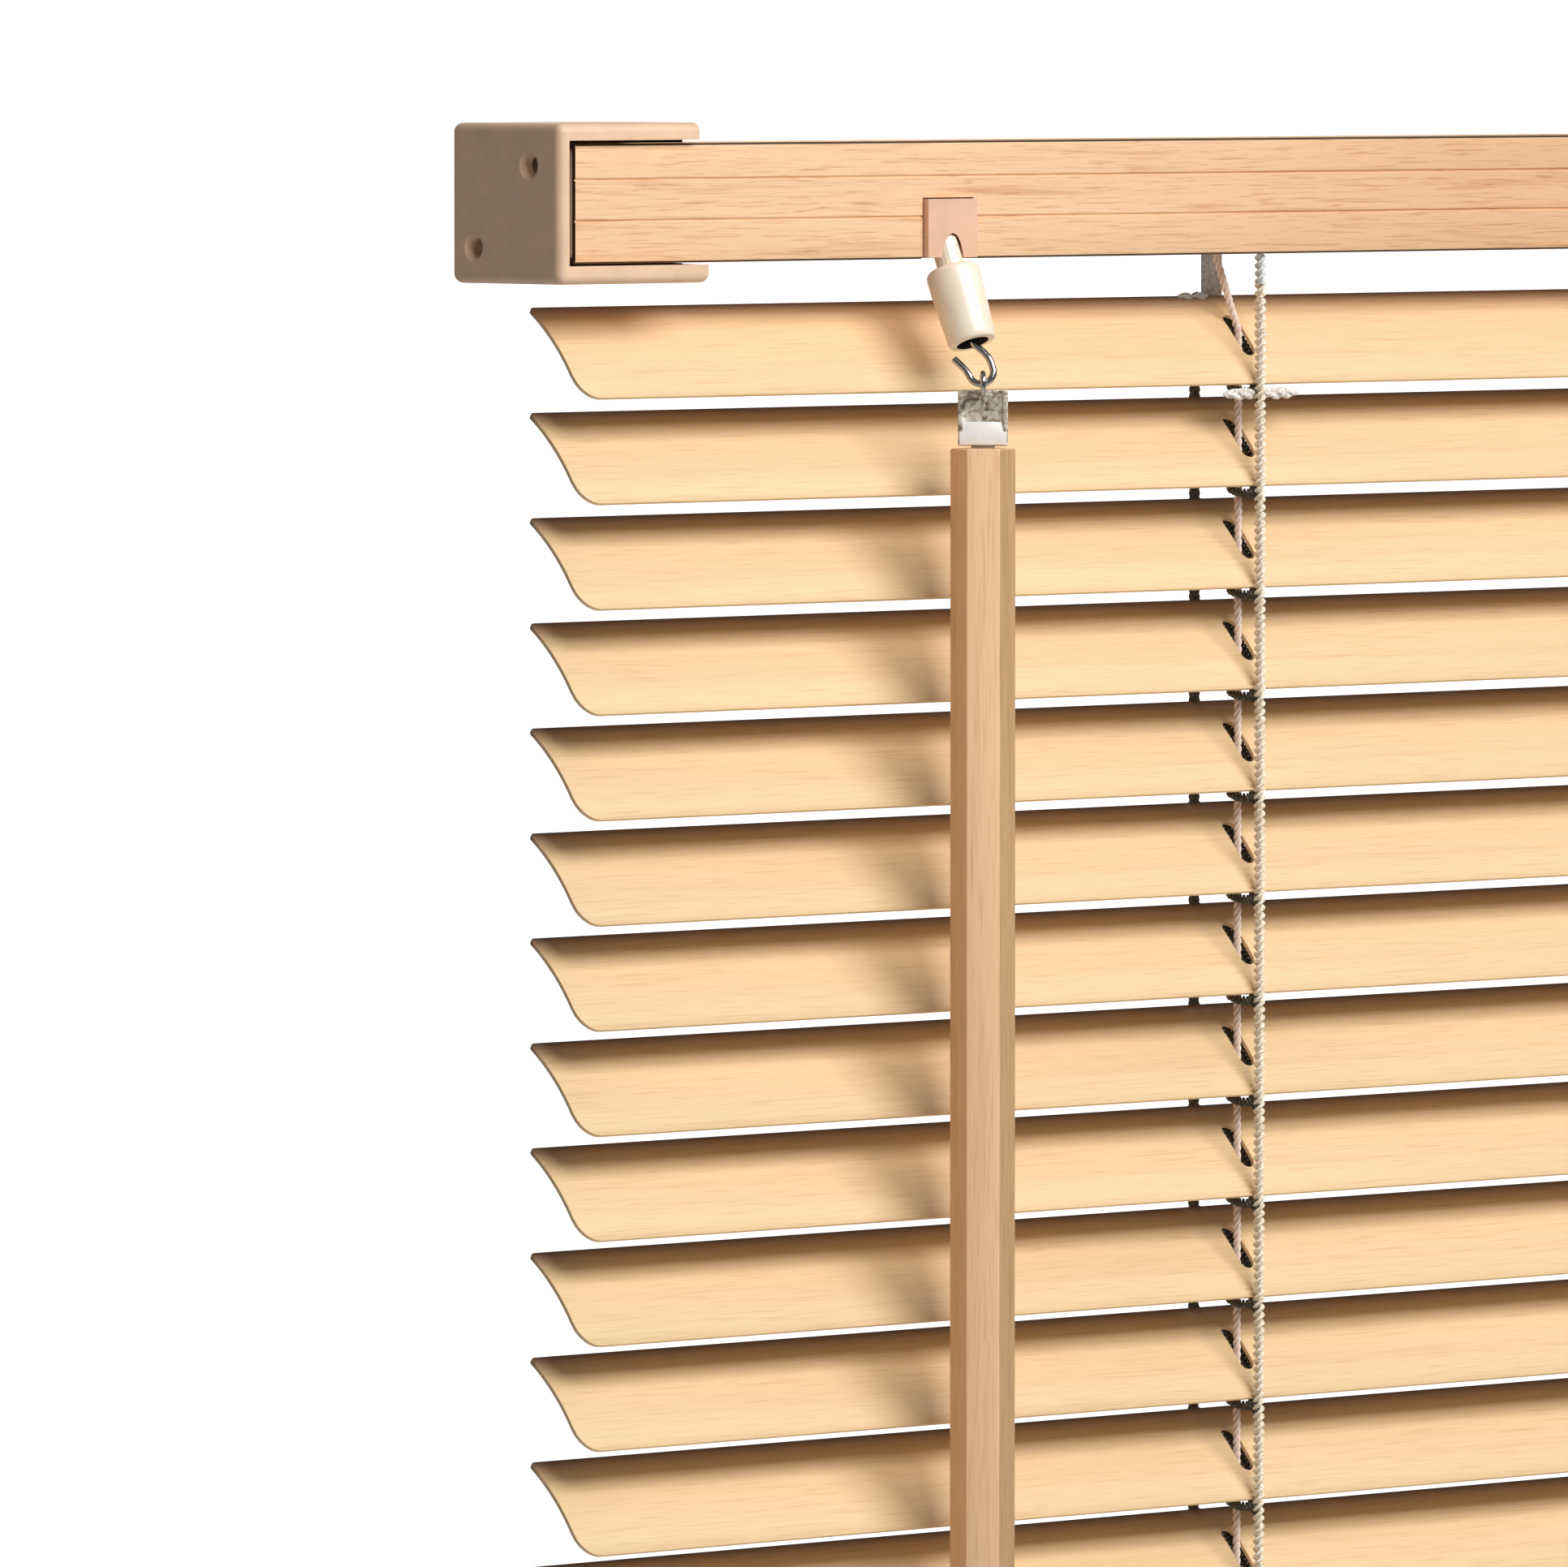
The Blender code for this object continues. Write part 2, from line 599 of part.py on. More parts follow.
def make_wand():
    """The hexagonal wand, with a slot in its top for the clip's tang."""
    rod = round_mesh("wand", WAND_RADIUS, WAND_LENGTH, 6)
    middle = Vector((HOOK_POINT.x, HOOK_POINT.y, WAND_TOP - WAND_LENGTH / 2))
    turn = Matrix.Rotation(WAND_FACET_TURN + math.radians(30), 4, "Z")
    wand = add_mesh("wand", rod, "tan_plastic", Matrix.Translation(middle) @ turn)
    tang_x, tang_y = CLIP_TANG_HALF + GAP, CLIP_THICKNESS / 2 + GAP
    slot = box_mesh("wand_slot", (-tang_x, -tang_y, -CLIP_TANG), (tang_x, tang_y, 5 * MM))
    place = Matrix.Translation((HOOK_POINT.x, HOOK_POINT.y, WAND_TOP))
    return cut(wand, add_mesh("wand_slot", slot, None, place @ Matrix.Rotation(-HOOK_FACING, 4, "Z")))


def make_wand_tip():
    """The rounded cap on the wand's lower end."""
    foot = WAND_TOP - WAND_LENGTH - GAP
    profile = [(0, 0), (WAND_RADIUS - 0.6 * MM, 0), (WAND_RADIUS, -0.8 * MM)]
    profile += [(WAND_RADIUS * math.cos(a) ** 0.6, -2 * MM - (TIP_LENGTH - 2 * MM) * math.sin(a))
                for a in (math.radians(15 * i) for i in range(6))]
    profile.append((0, -TIP_LENGTH))
    place = Matrix.Translation((HOOK_POINT.x, HOOK_POINT.y, foot))
    return turned("wand_tip", profile, "tan_plastic", place)


def make_cord_lock():
    """The lock's frame: a channel with slanted slots that its roller runs in."""
    reach = RAIL_HALF - RAIL_WALL - 1.2 * MM
    floor = RAIL_BOTTOM + RAIL_WALL + GAP
    half = LOCK_LENGTH / 2
    frame = add_mesh("cord_lock", box_mesh("cord_lock", (LOCK_X - half, -reach, floor),
                     (LOCK_X + half, reach, floor + 10.5 * MM)), "white_nylon")
    room = 7 * MM
    cutters = [
        box_cutter("cord_lock_room", (LOCK_X - half + 3 * MM, -room, floor + 2 * MM),
                   (LOCK_X + half - 3 * MM, room, floor + 20 * MM)),
        box_cutter("cord_lock_outlet", (LOCK_X - 6 * MM, -room, floor - 5 * MM),
                   (LOCK_X + 6 * MM, -4 * MM, floor + 5 * MM)),
        box_cutter("cord_lock_inlet", (LOCK_X - half - 5 * MM, -3 * MM, floor + 4 * MM),
                   (LOCK_X, 3 * MM, floor + 20 * MM)),
    ]
    return cut(frame, *cutters)


def make_lock_roller():
    """The knurled roller that pinches the lift cords against the lock's floor."""
    floor = RAIL_BOTTOM + RAIL_WALL + GAP + 2 * MM
    outline = []
    for groove in range(12):
        for share, radius in ((0, ROLLER_RADIUS), (0.5, ROLLER_RADIUS), (0.75, ROLLER_RADIUS * 0.88)):
            angle = 2 * math.pi * (groove + share) / 12
            outline.append((radius * math.cos(angle), radius * math.sin(angle)))
    mesh = plate_mesh("cord_lock_roller", [outline], 13 * MM)
    place = (LOCK_X + 5 * MM, 0, floor + ROLLER_RADIUS + GAP)
    return add_mesh("cord_lock_roller", mesh, "steel", along((0, 1, 0), place))


def slat_mesh():
    """A crowned strip with rounded corners and a slot for each lift cord, lying flat."""
    half = SLAT_WIDTH / 2
    front, back = SLAT_CORNER, SLAT_BACK_CORNER
    rows = [(-half + front - front * math.cos(a), front - front * math.sin(a))
            for a in (math.radians(t) for t in (0, 20, 40, 60, 90))]
    flat = SLAT_WIDTH - front - back
    rows += [(-half + front + flat * i / 6, 0) for i in range(1, 6)]
    rows += [(half - back + back * math.sin(a), back - back * math.cos(a))
             for a in (math.radians(t) for t in (0, 45, 90))]

    def fill(made):
        last = None
        for y, short in rows:
            reach = SLAT_LENGTH / 2 - short
            height = SLAT_CROWN * (1 - (y / half) ** 2)
            row = [made.verts.new((x, y, height)) for x in (-reach, reach)]
            if last:
                made.faces.new((last[0], last[1], row[1], row[0]))
            last = row

    skin = add_mesh("slat_skin", mesh_from("slat_skin", fill))
    solid = skin.modifiers.new("thickness", "SOLIDIFY")
    solid.thickness = SLAT_THICKNESS
    solid.offset = 1
    slot = rounded_box(SLOT_WIDTH, SLOT_LENGTH, SLOT_WIDTH / 2 - 0.01 * MM, 4)
    for side, name in ((-1, "left"), (1, "right")):
        cutter = add_mesh("slat_slot_" + name, plate_mesh("slat_slot_" + name, [slot], 12 * MM),
                          None, Matrix.Translation((side * CORD_X, 0, 0)))
        cut(skin, cutter)
    graph = bpy.context.evaluated_depsgraph_get()
    mesh = bpy.data.meshes.new_from_object(skin.evaluated_get(graph))
    bpy.data.objects.remove(skin, do_unlink=True)
    mesh.name = "slat"
    return mesh


def make_slats():
    mesh = slat_mesh()
    for number in range(1, SLAT_COUNT + 1):
        place = Matrix.Translation((0, 0, slat_z(number))) @ Matrix.Rotation(SLAT_TILT, 4, "X")
        add_mesh(f"slat_{number:02d}", mesh, "beech_foil", place)


def rung_ends(number):
    """The heights at which a slat's rung meets the front and the back string."""
    below = -(STRING_RADIUS + GAP)
    slope = math.tan(SLAT_TILT)
    foot = slat_point(0, below)
    return tuple(slat_z(number) + foot[1] + (y - foot[0]) * slope for y in (-STRING_Y, STRING_Y))


def string_feet():
    """The heights at which the front and the back string end on the bottom rail."""
    return BOTTOM_Z - 3.2 * MM, BOTTOM_Z + 8.4 * MM


def make_left_ladder():
    """The left ladder as sections, each from one rung up to the next, as it folds."""
    front = (-LADDER_X, -STRING_Y)
    back = (-LADDER_X - LADDER_SKEW, STRING_Y)
    tops = (STRING_TOP, STRING_TOP)
    clear = STRING_RADIUS + GAP
    for number in range(1, SLAT_COUNT + 1):
        ends = rung_ends(number)
        line = [(*front, tops[0]), (*front, ends[0]), (*back, ends[1]), (*back, tops[1])]
        mesh = wire_mesh(f"ladder_left_{number:02d}", line, STRING_RADIUS)
        add_mesh(f"ladder_left_{number:02d}", mesh, "cord")
        tops = (ends[0] - 2.0 * clear, ends[1] - 2.0 * clear)
    feet = string_feet()
    line = [(*front, feet[0]), (*front, tops[0]), (*back, tops[1]), (*back, feet[1])]
    name = f"ladder_left_{SLAT_COUNT + 1:02d}"
    add_mesh(name, wire_mesh(name, line, STRING_RADIUS), "cord")


def make_right_ladder():
    """The right ladder whole: two strings joined by a rung under every slat."""
    front = (LADDER_X, -STRING_Y)
    back = (LADDER_X + LADDER_SKEW, STRING_Y)
    feet = string_feet()
    line = [(*front, STRING_TOP), (*front, feet[0])]
    ladder = add_mesh("ladder_right", wire_mesh("ladder_right", line, STRING_RADIUS), "cord")
    line = [(*back, STRING_TOP), (*back, feet[1])]
    others = [add_mesh("ladder_right_back", wire_mesh("ladder_right_back", line, STRING_RADIUS))]
    for number in range(1, SLAT_COUNT + 1):
        ends = rung_ends(number)
        name = f"ladder_right_rung_{number:02d}"
        mesh = wire_mesh(name, [(*front, ends[0]), (*back, ends[1])], RUNG_RADIUS, 1)
        others.append(add_mesh(name, mesh))
    return join(ladder, *others)


def make_lift_cord(name, side):
    """A lift cord, from its cradle through every slat's slot to the bottom rail."""
    end = BOTTOM_Z + (BOTTOM_HEIGHT / 2) / math.cos(SLAT_TILT) + 1.2 * MM
    line = [(side * CORD_EXIT_X, CORD_Y, ROD_Z - DRUM_RADIUS - 1 * MM),
            (side * CORD_EXIT_X, CORD_Y, RAIL_BOTTOM - 1 * MM),
            (side * CORD_X, CORD_Y, FIRST_SLAT + 1 * MM),
            (side * CORD_X, CORD_Y, end)]
    return add_mesh(name, wire_mesh(name, line, CORD_RADIUS), "cord")


def make_bottom_rail():
    """A hollow profile with a cord hole through its top and a button hole in its underside."""
    outer = rounded_box(BOTTOM_WIDTH, BOTTOM_HEIGHT, 2.2 * MM)
    inner = rounded_box(BOTTOM_WIDTH - 2 * BOTTOM_WALL, BOTTOM_HEIGHT - 2 * BOTTOM_WALL, 1.0 * MM)
    mesh = plate_mesh("bottom_rail", [outer, inner], SLAT_LENGTH - 4 * MM)
    tilt = Matrix.Translation((0, 0, BOTTOM_Z)) @ Matrix.Rotation(SLAT_TILT, 4, "X")
    rail = add_mesh("bottom_rail", mesh, "beech_foil", tilt @ ALONG_X)
    cutters = []
    for side, name in ((-1, "left"), (1, "right")):
        hole = round_mesh(f"bottom_cord_hole_{name}", 2 * MM, 6 * MM, 12)
        cutters.append(add_mesh(f"bottom_cord_hole_{name}", hole, None,
                                tilt @ Matrix.Translation((side * CORD_X, 0, 4 * MM))))
        hole = round_mesh(f"bottom_button_hole_{name}", 4.5 * MM, 4 * MM, 16)
        cutters.append(add_mesh(f"bottom_button_hole_{name}", hole, None,
                                tilt @ Matrix.Translation((side * CORD_X, 0, -4 * MM))))
        button = [(0, -0.2 * MM), (4.2 * MM, -0.2 * MM), (4.2 * MM, -1.7 * MM),
                  (6.5 * MM, -1.8 * MM), (6.2 * MM, -2.7 * MM), (4.5 * MM, -3.2 * MM),
                  (0, -3.3 * MM)]
        place = tilt @ Matrix.Translation((side * CORD_X, 0, -BOTTOM_HEIGHT / 2 + 1.5 * MM))
        turned(f"cord_button_{name}", button, "beech_plastic", place)
        plug = rounded_box(BOTTOM_WIDTH - 2 * BOTTOM_WALL - 2 * GAP,
                           BOTTOM_HEIGHT - 2 * BOTTOM_WALL - 2 * GAP, 0.7 * MM)
        cap = add_mesh(f"bottom_cap_{name}",
                       plate_mesh(f"bottom_cap_{name}", [outer], 1.7 * MM), "beech_plastic",
                       tilt @ Matrix.Translation((side * (SLAT_LENGTH / 2 - 0.85 * MM), 0, 0))
                       @ ALONG_X)
        tongue = add_mesh(f"bottom_cap_tongue_{name}",
                          plate_mesh(f"bottom_cap_tongue_{name}", [plug], 10 * MM), None,
                          tilt @ Matrix.Translation((side * (SLAT_LENGTH / 2 - 6 * MM), 0, 0))
                          @ ALONG_X)
        join(cap, tongue)
    return cut(rail, *cutters)


make_headrail()
make_tilt_rod()
make_tilter_gear()
make_tilter_housing()
make_worm()
make_sleeve()
make_hook()
make_clip()
make_wand()
make_wand_tip()
make_cord_lock()
make_lock_roller()
make_slats()
make_left_ladder()
make_right_ladder()
make_bottom_rail()
for SIDE, END in ((-1, "left"), (1, "right")):
    make_bracket("bracket_" + END, SIDE)
    make_rail_plug("rail_plug_" + END, SIDE)
    make_drum("drum_" + END, SIDE)
    make_cradle("cradle_" + END, SIDE)
    make_lift_cord("lift_cord_" + END, SIDE)
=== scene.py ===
"""Looks for the venetian blind: foil-covered slats and headrail, brackets, tilter, wand and cords."""

import json
import math

import bmesh
import bpy
from mathutils import Matrix, Vector


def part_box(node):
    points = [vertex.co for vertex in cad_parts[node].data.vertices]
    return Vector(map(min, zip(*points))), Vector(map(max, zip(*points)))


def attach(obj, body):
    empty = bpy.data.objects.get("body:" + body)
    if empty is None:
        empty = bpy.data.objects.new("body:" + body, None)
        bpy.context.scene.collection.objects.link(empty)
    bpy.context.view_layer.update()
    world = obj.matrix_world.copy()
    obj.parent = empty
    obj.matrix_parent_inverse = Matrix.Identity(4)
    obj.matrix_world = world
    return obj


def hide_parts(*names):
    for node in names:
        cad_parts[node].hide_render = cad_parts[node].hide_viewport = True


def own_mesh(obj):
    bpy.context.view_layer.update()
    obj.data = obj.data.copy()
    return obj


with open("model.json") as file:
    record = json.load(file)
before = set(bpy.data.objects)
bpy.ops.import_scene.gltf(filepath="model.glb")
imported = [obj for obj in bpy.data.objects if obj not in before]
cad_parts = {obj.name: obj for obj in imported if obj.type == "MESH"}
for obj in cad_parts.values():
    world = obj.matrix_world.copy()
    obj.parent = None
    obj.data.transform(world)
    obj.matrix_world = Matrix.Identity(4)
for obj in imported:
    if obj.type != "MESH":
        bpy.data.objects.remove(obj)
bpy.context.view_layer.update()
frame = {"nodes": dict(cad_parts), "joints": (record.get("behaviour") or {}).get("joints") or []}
NODES = frame["nodes"]
JOINTS = {joint["name"]: joint for joint in frame["joints"]}

MM = 0.001
SLATS = 15

# Places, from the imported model
rail_low, rail_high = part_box("headrail")
slat_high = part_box("slat_01")[1]
wand_low, wand_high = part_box("wand")
hook = Vector(JOINTS["worm_spin"]["pos_m"])
worm_axis = Vector(JOINTS["worm_spin"]["axis"]).normalized()
lean = math.asin(worm_axis.y)
slat_heights = [JOINTS[f"slat_{n:02d}_tilt"]["pos_m"][2] for n in range(1, SLATS + 1)]
pitch = slat_heights[0] - slat_heights[1]
bottom_height = JOINTS["bottom_rail_tilt"]["pos_m"][2]
cord_low, cord_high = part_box("lift_cord_left")
string_low, string_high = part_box("ladder_right")
CORD_RADIUS = 0.75 * MM
STRING_RADIUS = 0.8 * MM
cord_x = cord_high.x - CORD_RADIUS
cord_exit_x = cord_low.x + CORD_RADIUS
cord_y = (cord_low.y + cord_high.y) / 2
ladder_x = string_low.x + STRING_RADIUS
ladder_skew = string_high.x - string_low.x - 2 * STRING_RADIUS
string_y = (string_high.y - string_low.y) / 2 - STRING_RADIUS
string_top = string_high.z

# Slat section
SLAT_TILT = math.radians(48)
SLAT_WIDTH = 24.7 * MM
SLAT_CROWN = 1.6 * MM
SLAT_THICKNESS = 0.85 * MM
SLAT_CORNER = 5.5 * MM
SLAT_BACK_CORNER = 1.2 * MM
SLOT_LENGTH, SLOT_WIDTH = 11.6 * MM, 4.0 * MM
slat_half = slat_high.x

# What is left between two slats when the blind is all the way up
RAISED_PITCH = 4.6 * MM
KEEP = RAISED_PITCH / pitch
STACK_ANCHOR = slat_heights[0] + 0.1 * pitch
# The same from the last slat to the bottom rail, in mm: down, and all the way up
FOOT_DOWN, FOOT_UP = 24.0, 16.0
BOTTOM_KEEP = FOOT_UP / FOOT_DOWN


def linear(colour):
    """An sRGB colour, 0 to 255, as linear light."""
    return tuple(
        (c / 255 / 12.92) if c / 255 <= 0.04045 else ((c / 255 + 0.055) / 1.055) ** 2.4
        for c in colour
    )


class Look:
    """A node material being put together."""

    def __init__(self, name, roughness=0.5, metallic=0.0, specular=0.5, coat=0.0):
        self.material = bpy.data.materials.new(name)
        self.material.use_nodes = True
        self.tree = self.material.node_tree
        self.shader = self.tree.nodes["Principled BSDF"]
        self.shader.inputs["Roughness"].default_value = roughness
        self.shader.inputs["Metallic"].default_value = metallic
        self.shader.inputs["Specular IOR Level"].default_value = specular
        self.shader.inputs["Coat Weight"].default_value = coat
        self.place = self.add("ShaderNodeTexCoord").outputs["Object"]

    def add(self, kind, **settings):
        node = self.tree.nodes.new(kind)
        for key, value in settings.items():
            setattr(node, key, value)
        return node

    def link(self, out, into):
        self.tree.links.new(out, into)

    def stretched(self, scale, source=None):
        mapping = self.add("ShaderNodeMapping")
        mapping.inputs["Scale"].default_value = scale
        self.link(source or self.place, mapping.inputs["Vector"])
        return mapping.outputs["Vector"]

    def noise(self, where, scale=1.0, detail=4.0, roughness=0.55, distortion=0.0):
        node = self.add("ShaderNodeTexNoise")
        node.inputs["Scale"].default_value = scale
        node.inputs["Detail"].default_value = detail
        node.inputs["Roughness"].default_value = roughness
        node.inputs["Distortion"].default_value = distortion
        self.link(where, node.inputs["Vector"])
        return node.outputs["Fac"]

    def ramp(self, value, stops):
        node = self.add("ShaderNodeValToRGB")
        ramp = node.color_ramp
        while len(ramp.elements) < len(stops):
            ramp.elements.new(0.5)
        for element, (position, colour) in zip(ramp.elements, stops):
            element.position = position
            element.color = (*colour, 1)
        self.link(value, node.inputs["Fac"])
        return node.outputs["Color"]

    def shaded(self, colour, shade, amount=1.0):
        """The colour multiplied by a shade."""
        node = self.add("ShaderNodeMix", data_type="RGBA", blend_type="MULTIPLY")
        node.inputs[0].default_value = amount
        self.link(colour, node.inputs[6])
        self.link(shade, node.inputs[7])
        return node.outputs[2]

    def math(self, operation, one, two):
        node = self.add("ShaderNodeMath", operation=operation)
        for value, socket in ((one, 0), (two, 1)):
            if hasattr(value, "node"):
                self.link(value, node.inputs[socket])
            else:
                node.inputs[socket].default_value = value
        return node.outputs[0]

    def faded(self, colour, axis, start, end, stops):
        """The colour shaded through stops, from start to end along an axis of the object."""
        spot = self.add("ShaderNodeSeparateXYZ")
        self.link(self.place, spot.inputs["Vector"])
        along = self.math("DIVIDE", self.math("SUBTRACT", spot.outputs[axis], start), end - start)
        return self.shaded(colour, self.ramp(along, stops))

    def colour(self, value):
        self.link(value, self.shader.inputs["Base Color"])

    def bump(self, height, strength, distance):
        node = self.add("ShaderNodeBump")
        node.inputs["Strength"].default_value = strength
        node.inputs["Distance"].default_value = distance
        self.link(height, node.inputs["Height"])
        self.link(node.outputs["Normal"], self.shader.inputs["Normal"])


# How often the foil's print changes in a metre, along the grain and across it
STREAKS, FIGURE, PATCHES = (75, 2300), (14, 420), (5, 60)
PRINT_SHIFT = 7.0
# Painted shadow of the slat above, from darkest at a slat's back edge to none
BACK_EDGE_PAINTED_SHADOW = [(0.0, (0.20, 0.18, 0.20)), (0.20, (0.40, 0.36, 0.38)), (0.55, (0.72, 0.69, 0.70)),
              (1.0, (1, 1, 1))]
# From the foil's own colour to a darker, browner one
DARKENING_RAMP = [(0.0, (1, 1, 1)), (1.0, (0.86, 0.80, 0.75))]


def wood_look(name, base, streak, dark, coarse, depth, axis="X", wave=0.0, edge=None, darker_past=None):
    """Printed wood foil: fine streaks and longer, wavier figure, both along one axis.

    edge is a stretch of Y that darkens towards a slat's back edge, a painted shadow of the slat above;
    darker_past is a stretch of X over which the colour turns darker and browner, and stays so beyond it.
    """
    def grain(ahead, across):
        return (ahead, across, across) if axis == "X" else (across, across, ahead)

    look = Look(name, roughness=0.48, specular=0.35)
    info = look.add("ShaderNodeObjectInfo").outputs["Random"]
    shift = look.add("ShaderNodeCombineXYZ")
    look.link(look.math("MULTIPLY", info, PRINT_SHIFT), shift.inputs["X"])
    moved = look.add("ShaderNodeVectorMath", operation="ADD")
    look.link(look.place, moved.inputs[0])
    look.link(shift.outputs[0], moved.inputs[1])
    source = moved.outputs[0]
    fine = look.noise(look.stretched(grain(*STREAKS), source), detail=5.0, distortion=wave)
    long = look.noise(look.stretched(grain(*FIGURE), source), detail=4.0, distortion=0.6)
    wide = look.noise(look.stretched(grain(*PATCHES), source), detail=2.0)
    colour = look.ramp(fine, [(0.30, streak), (0.48, base), (1.0, base)])
    figure = look.ramp(long, [(0.30, dark), (0.30 + coarse, (1, 1, 1)), (1.0, (1, 1, 1))])
    colour = look.shaded(colour, figure, depth)
    tone = look.ramp(wide, [(0.3, (0.95, 0.945, 0.94)), (0.7, (1.03, 1.03, 1.03))])
    colour = look.shaded(colour, tone)
    # Painted shadow: darker towards the slat's back edge, where the slat above shades it
    if edge:
        colour = look.faded(colour, "Y", edge[1], edge[0], BACK_EDGE_PAINTED_SHADOW)
    # Darker and browner along X, from the start of darker_past to its end and beyond
    if darker_past:
        colour = look.faded(colour, "X", darker_past[0], darker_past[1], DARKENING_RAMP)
    look.colour(colour)
    look.bump(fine, 0.12, 0.05 * MM)
    return look.material


def plastic_look(name, base, roughness=0.42, mottle=0.05, coat=0.0):
    """Moulded plastic with a faint mottle and a fine, soft grain on its surface."""
    look = Look(name, roughness=roughness, specular=0.45, coat=coat)
    cloud = look.noise(look.stretched((160, 160, 160)), detail=3.0)
    low = tuple(c * (1 - mottle) for c in base)
    high = tuple(min(c * (1 + mottle), 1) for c in base)
    look.colour(look.ramp(cloud, [(0.35, low), (0.65, high)]))
    look.bump(look.noise(look.stretched((2600, 2600, 2600)), detail=2.0), 0.10, 0.04 * MM)
    return look.material


def metal_look(name, base, roughness=0.2):
    """Bright plated steel with fine scratches."""
    look = Look(name, roughness=roughness, metallic=1.0)
    scratch = look.noise(look.stretched((900, 900, 4200)), detail=3.0)
    low = tuple(c * 0.75 for c in base)
    look.colour(look.ramp(scratch, [(0.35, low), (0.6, base)]))
    look.bump(scratch, 0.25, 0.05 * MM)
    return look.material


def clip_look(name):
    """Thin pressed metal with a rippled plated face, its colour running from dark to near white with the
    ripples: painted shade and reflection.
    """
    look = Look(name, roughness=0.3, metallic=0.25)
    ripple = look.noise(look.stretched((380, 380, 380)), detail=4.0, distortion=1.4)
    look.colour(look.ramp(ripple, [(0.33, linear((112, 100, 86))), (0.46, linear((196, 182, 160))),
                                   (0.60, linear((240, 234, 222)))]))
    look.bump(ripple, 0.8, 0.4 * MM)
    return look.material


def cord_look(name, base, shade):
    """Braided yarn: light strands, with a darker colour laid in noise patches as painted shade for the
    valleys between strands.
    """
    look = Look(name, roughness=0.85, specular=0.2)
    look.shader.inputs["Sheen Weight"].default_value = 0.25
    strand = look.noise(look.stretched((2200, 2200, 1500)), detail=3.0)
    look.colour(look.ramp(strand, [(0.38, shade), (0.58, base)]))
    look.bump(strand, 0.5, 0.12 * MM)
    return look.material


BEECH = linear((243, 209, 162))
BEECH_STREAK = linear((231, 193, 146))
RAIL = linear((247, 206, 164))
RAIL_STREAK = linear((218, 168, 122))
PLASTIC = linear((236, 200, 168))
# The slat foil carries a painted shadow band along its back edge
SLAT_FOIL = wood_look("slat_foil", BEECH, BEECH_STREAK, (0.95, 0.93, 0.91), 0.22, 0.55,
                      edge=(SLAT_WIDTH / 2 - 4.6 * MM, SLAT_WIDTH / 2 + 0.2 * MM))
# The rail foil turns darker and browner from X = -0.36 m to -0.2 m, and stays so to its right end
RAIL_FOIL = wood_look("rail_foil", RAIL, RAIL_STREAK, (0.82, 0.72, 0.62), 0.14, 0.9, wave=0.9,
                      darker_past=(-0.36, -0.2))
# Painted shade: a dark brown foil for the rounded top and bottom edges of the rail's front
RAIL_EDGE_SHADE_PAINT = wood_look("edge_foil", linear((84, 66, 50)), linear((66, 50, 36)), (0.8, 0.8, 0.8), 0.2, 0.5)
WAND_FOIL = wood_look("wand_foil", linear((255, 211, 167)), linear((236, 190, 144)), (0.88, 0.84, 0.78),
                      0.2, 0.6, "Z")
# A darker copy of the wand foil: painted shade on two opposite flats of the wand
WAND_SHADED_FACET_PAINT = wood_look("wand_edge_foil", linear((200, 162, 120)), linear((178, 142, 102)),
                           (0.86, 0.82, 0.74), 0.2, 0.6, "Z")
# Painted shade: near-black for the rail's cut ends, the bore of the sleeve and the strips inside the
# brackets' lips
SHADE_PAINT = plastic_look("shaded_inside", linear((48, 36, 28)), roughness=0.8)
BEECH_PLASTIC = plastic_look("beech_plastic", PLASTIC)
SLEEVE_PLASTIC = plastic_look("sleeve_plastic", linear((255, 238, 216)), roughness=0.32, coat=0.25)
NOSE_PLASTIC = plastic_look("nose_plastic", linear((232, 189, 160)))
NYLON = plastic_look("nylon_plastic", linear((232, 229, 220)), roughness=0.5)
STEEL = metal_look("zinc_steel", linear((205, 205, 205)), 0.22)
CLIP_METAL = clip_look("clip_metal")
CLIP_WHITE = plastic_look("clip_white", linear((250, 248, 240)), roughness=0.3, mottle=0.12)
CHROME = metal_look("hook_chrome", linear((196, 196, 196)), 0.14)
LADDER_CORD = cord_look("ladder_yarn", linear((255, 250, 232)), linear((214, 190, 160)))
# A dark grey copy of the ladder yarn: painted shade for the back strings and the rungs, which hang in shade
SHADED_YARN_PAINT = cord_look("ladder_yarn_back", linear((118, 112, 100)), linear((74, 68, 58)))
# Light grey yarn: the flat tail's own colour, and painted shade on the ladder strings' heads under the
# headrail
TAIL_AND_SHADE_YARN = cord_look("ladder_yarn_tail", linear((232, 234, 232)), linear((196, 198, 196)))
KNOT_CORD = cord_look("knot_yarn", linear((255, 250, 244)), linear((200, 184, 172)))
LIFT_CORD = cord_look("lift_yarn", linear((255, 242, 230)), linear((255, 220, 202)))


def paint(mesh, *looks):
    """Gives a mesh its materials. The first is the one that its faces have."""
    mesh.materials.clear()
    for look in looks:
        mesh.materials.append(look)


def shade_smooth(mesh, angle):
    """Smooth shading, with edges over an angle in degrees kept sharp."""
    for face in mesh.polygons:
        face.use_smooth = True
    mesh.set_sharp_from_angle(angle=math.radians(angle))


def raw(name, mesh, place=None):
    """An object with no body yet: a cutter, or a shape on its way to being a piece."""
    obj = bpy.data.objects.new(name, mesh)
    bpy.context.scene.collection.objects.link(obj)
    if place is not None:
        obj.matrix_world = place
    return obj


def new_object(name, mesh, look, body, place=None):
    """A piece of the visual model. It takes the look unless its mesh has materials already."""
    obj = raw(name, mesh, place)
    if not mesh.materials:
        mesh.materials.append(look)
    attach(obj, body)
    return obj


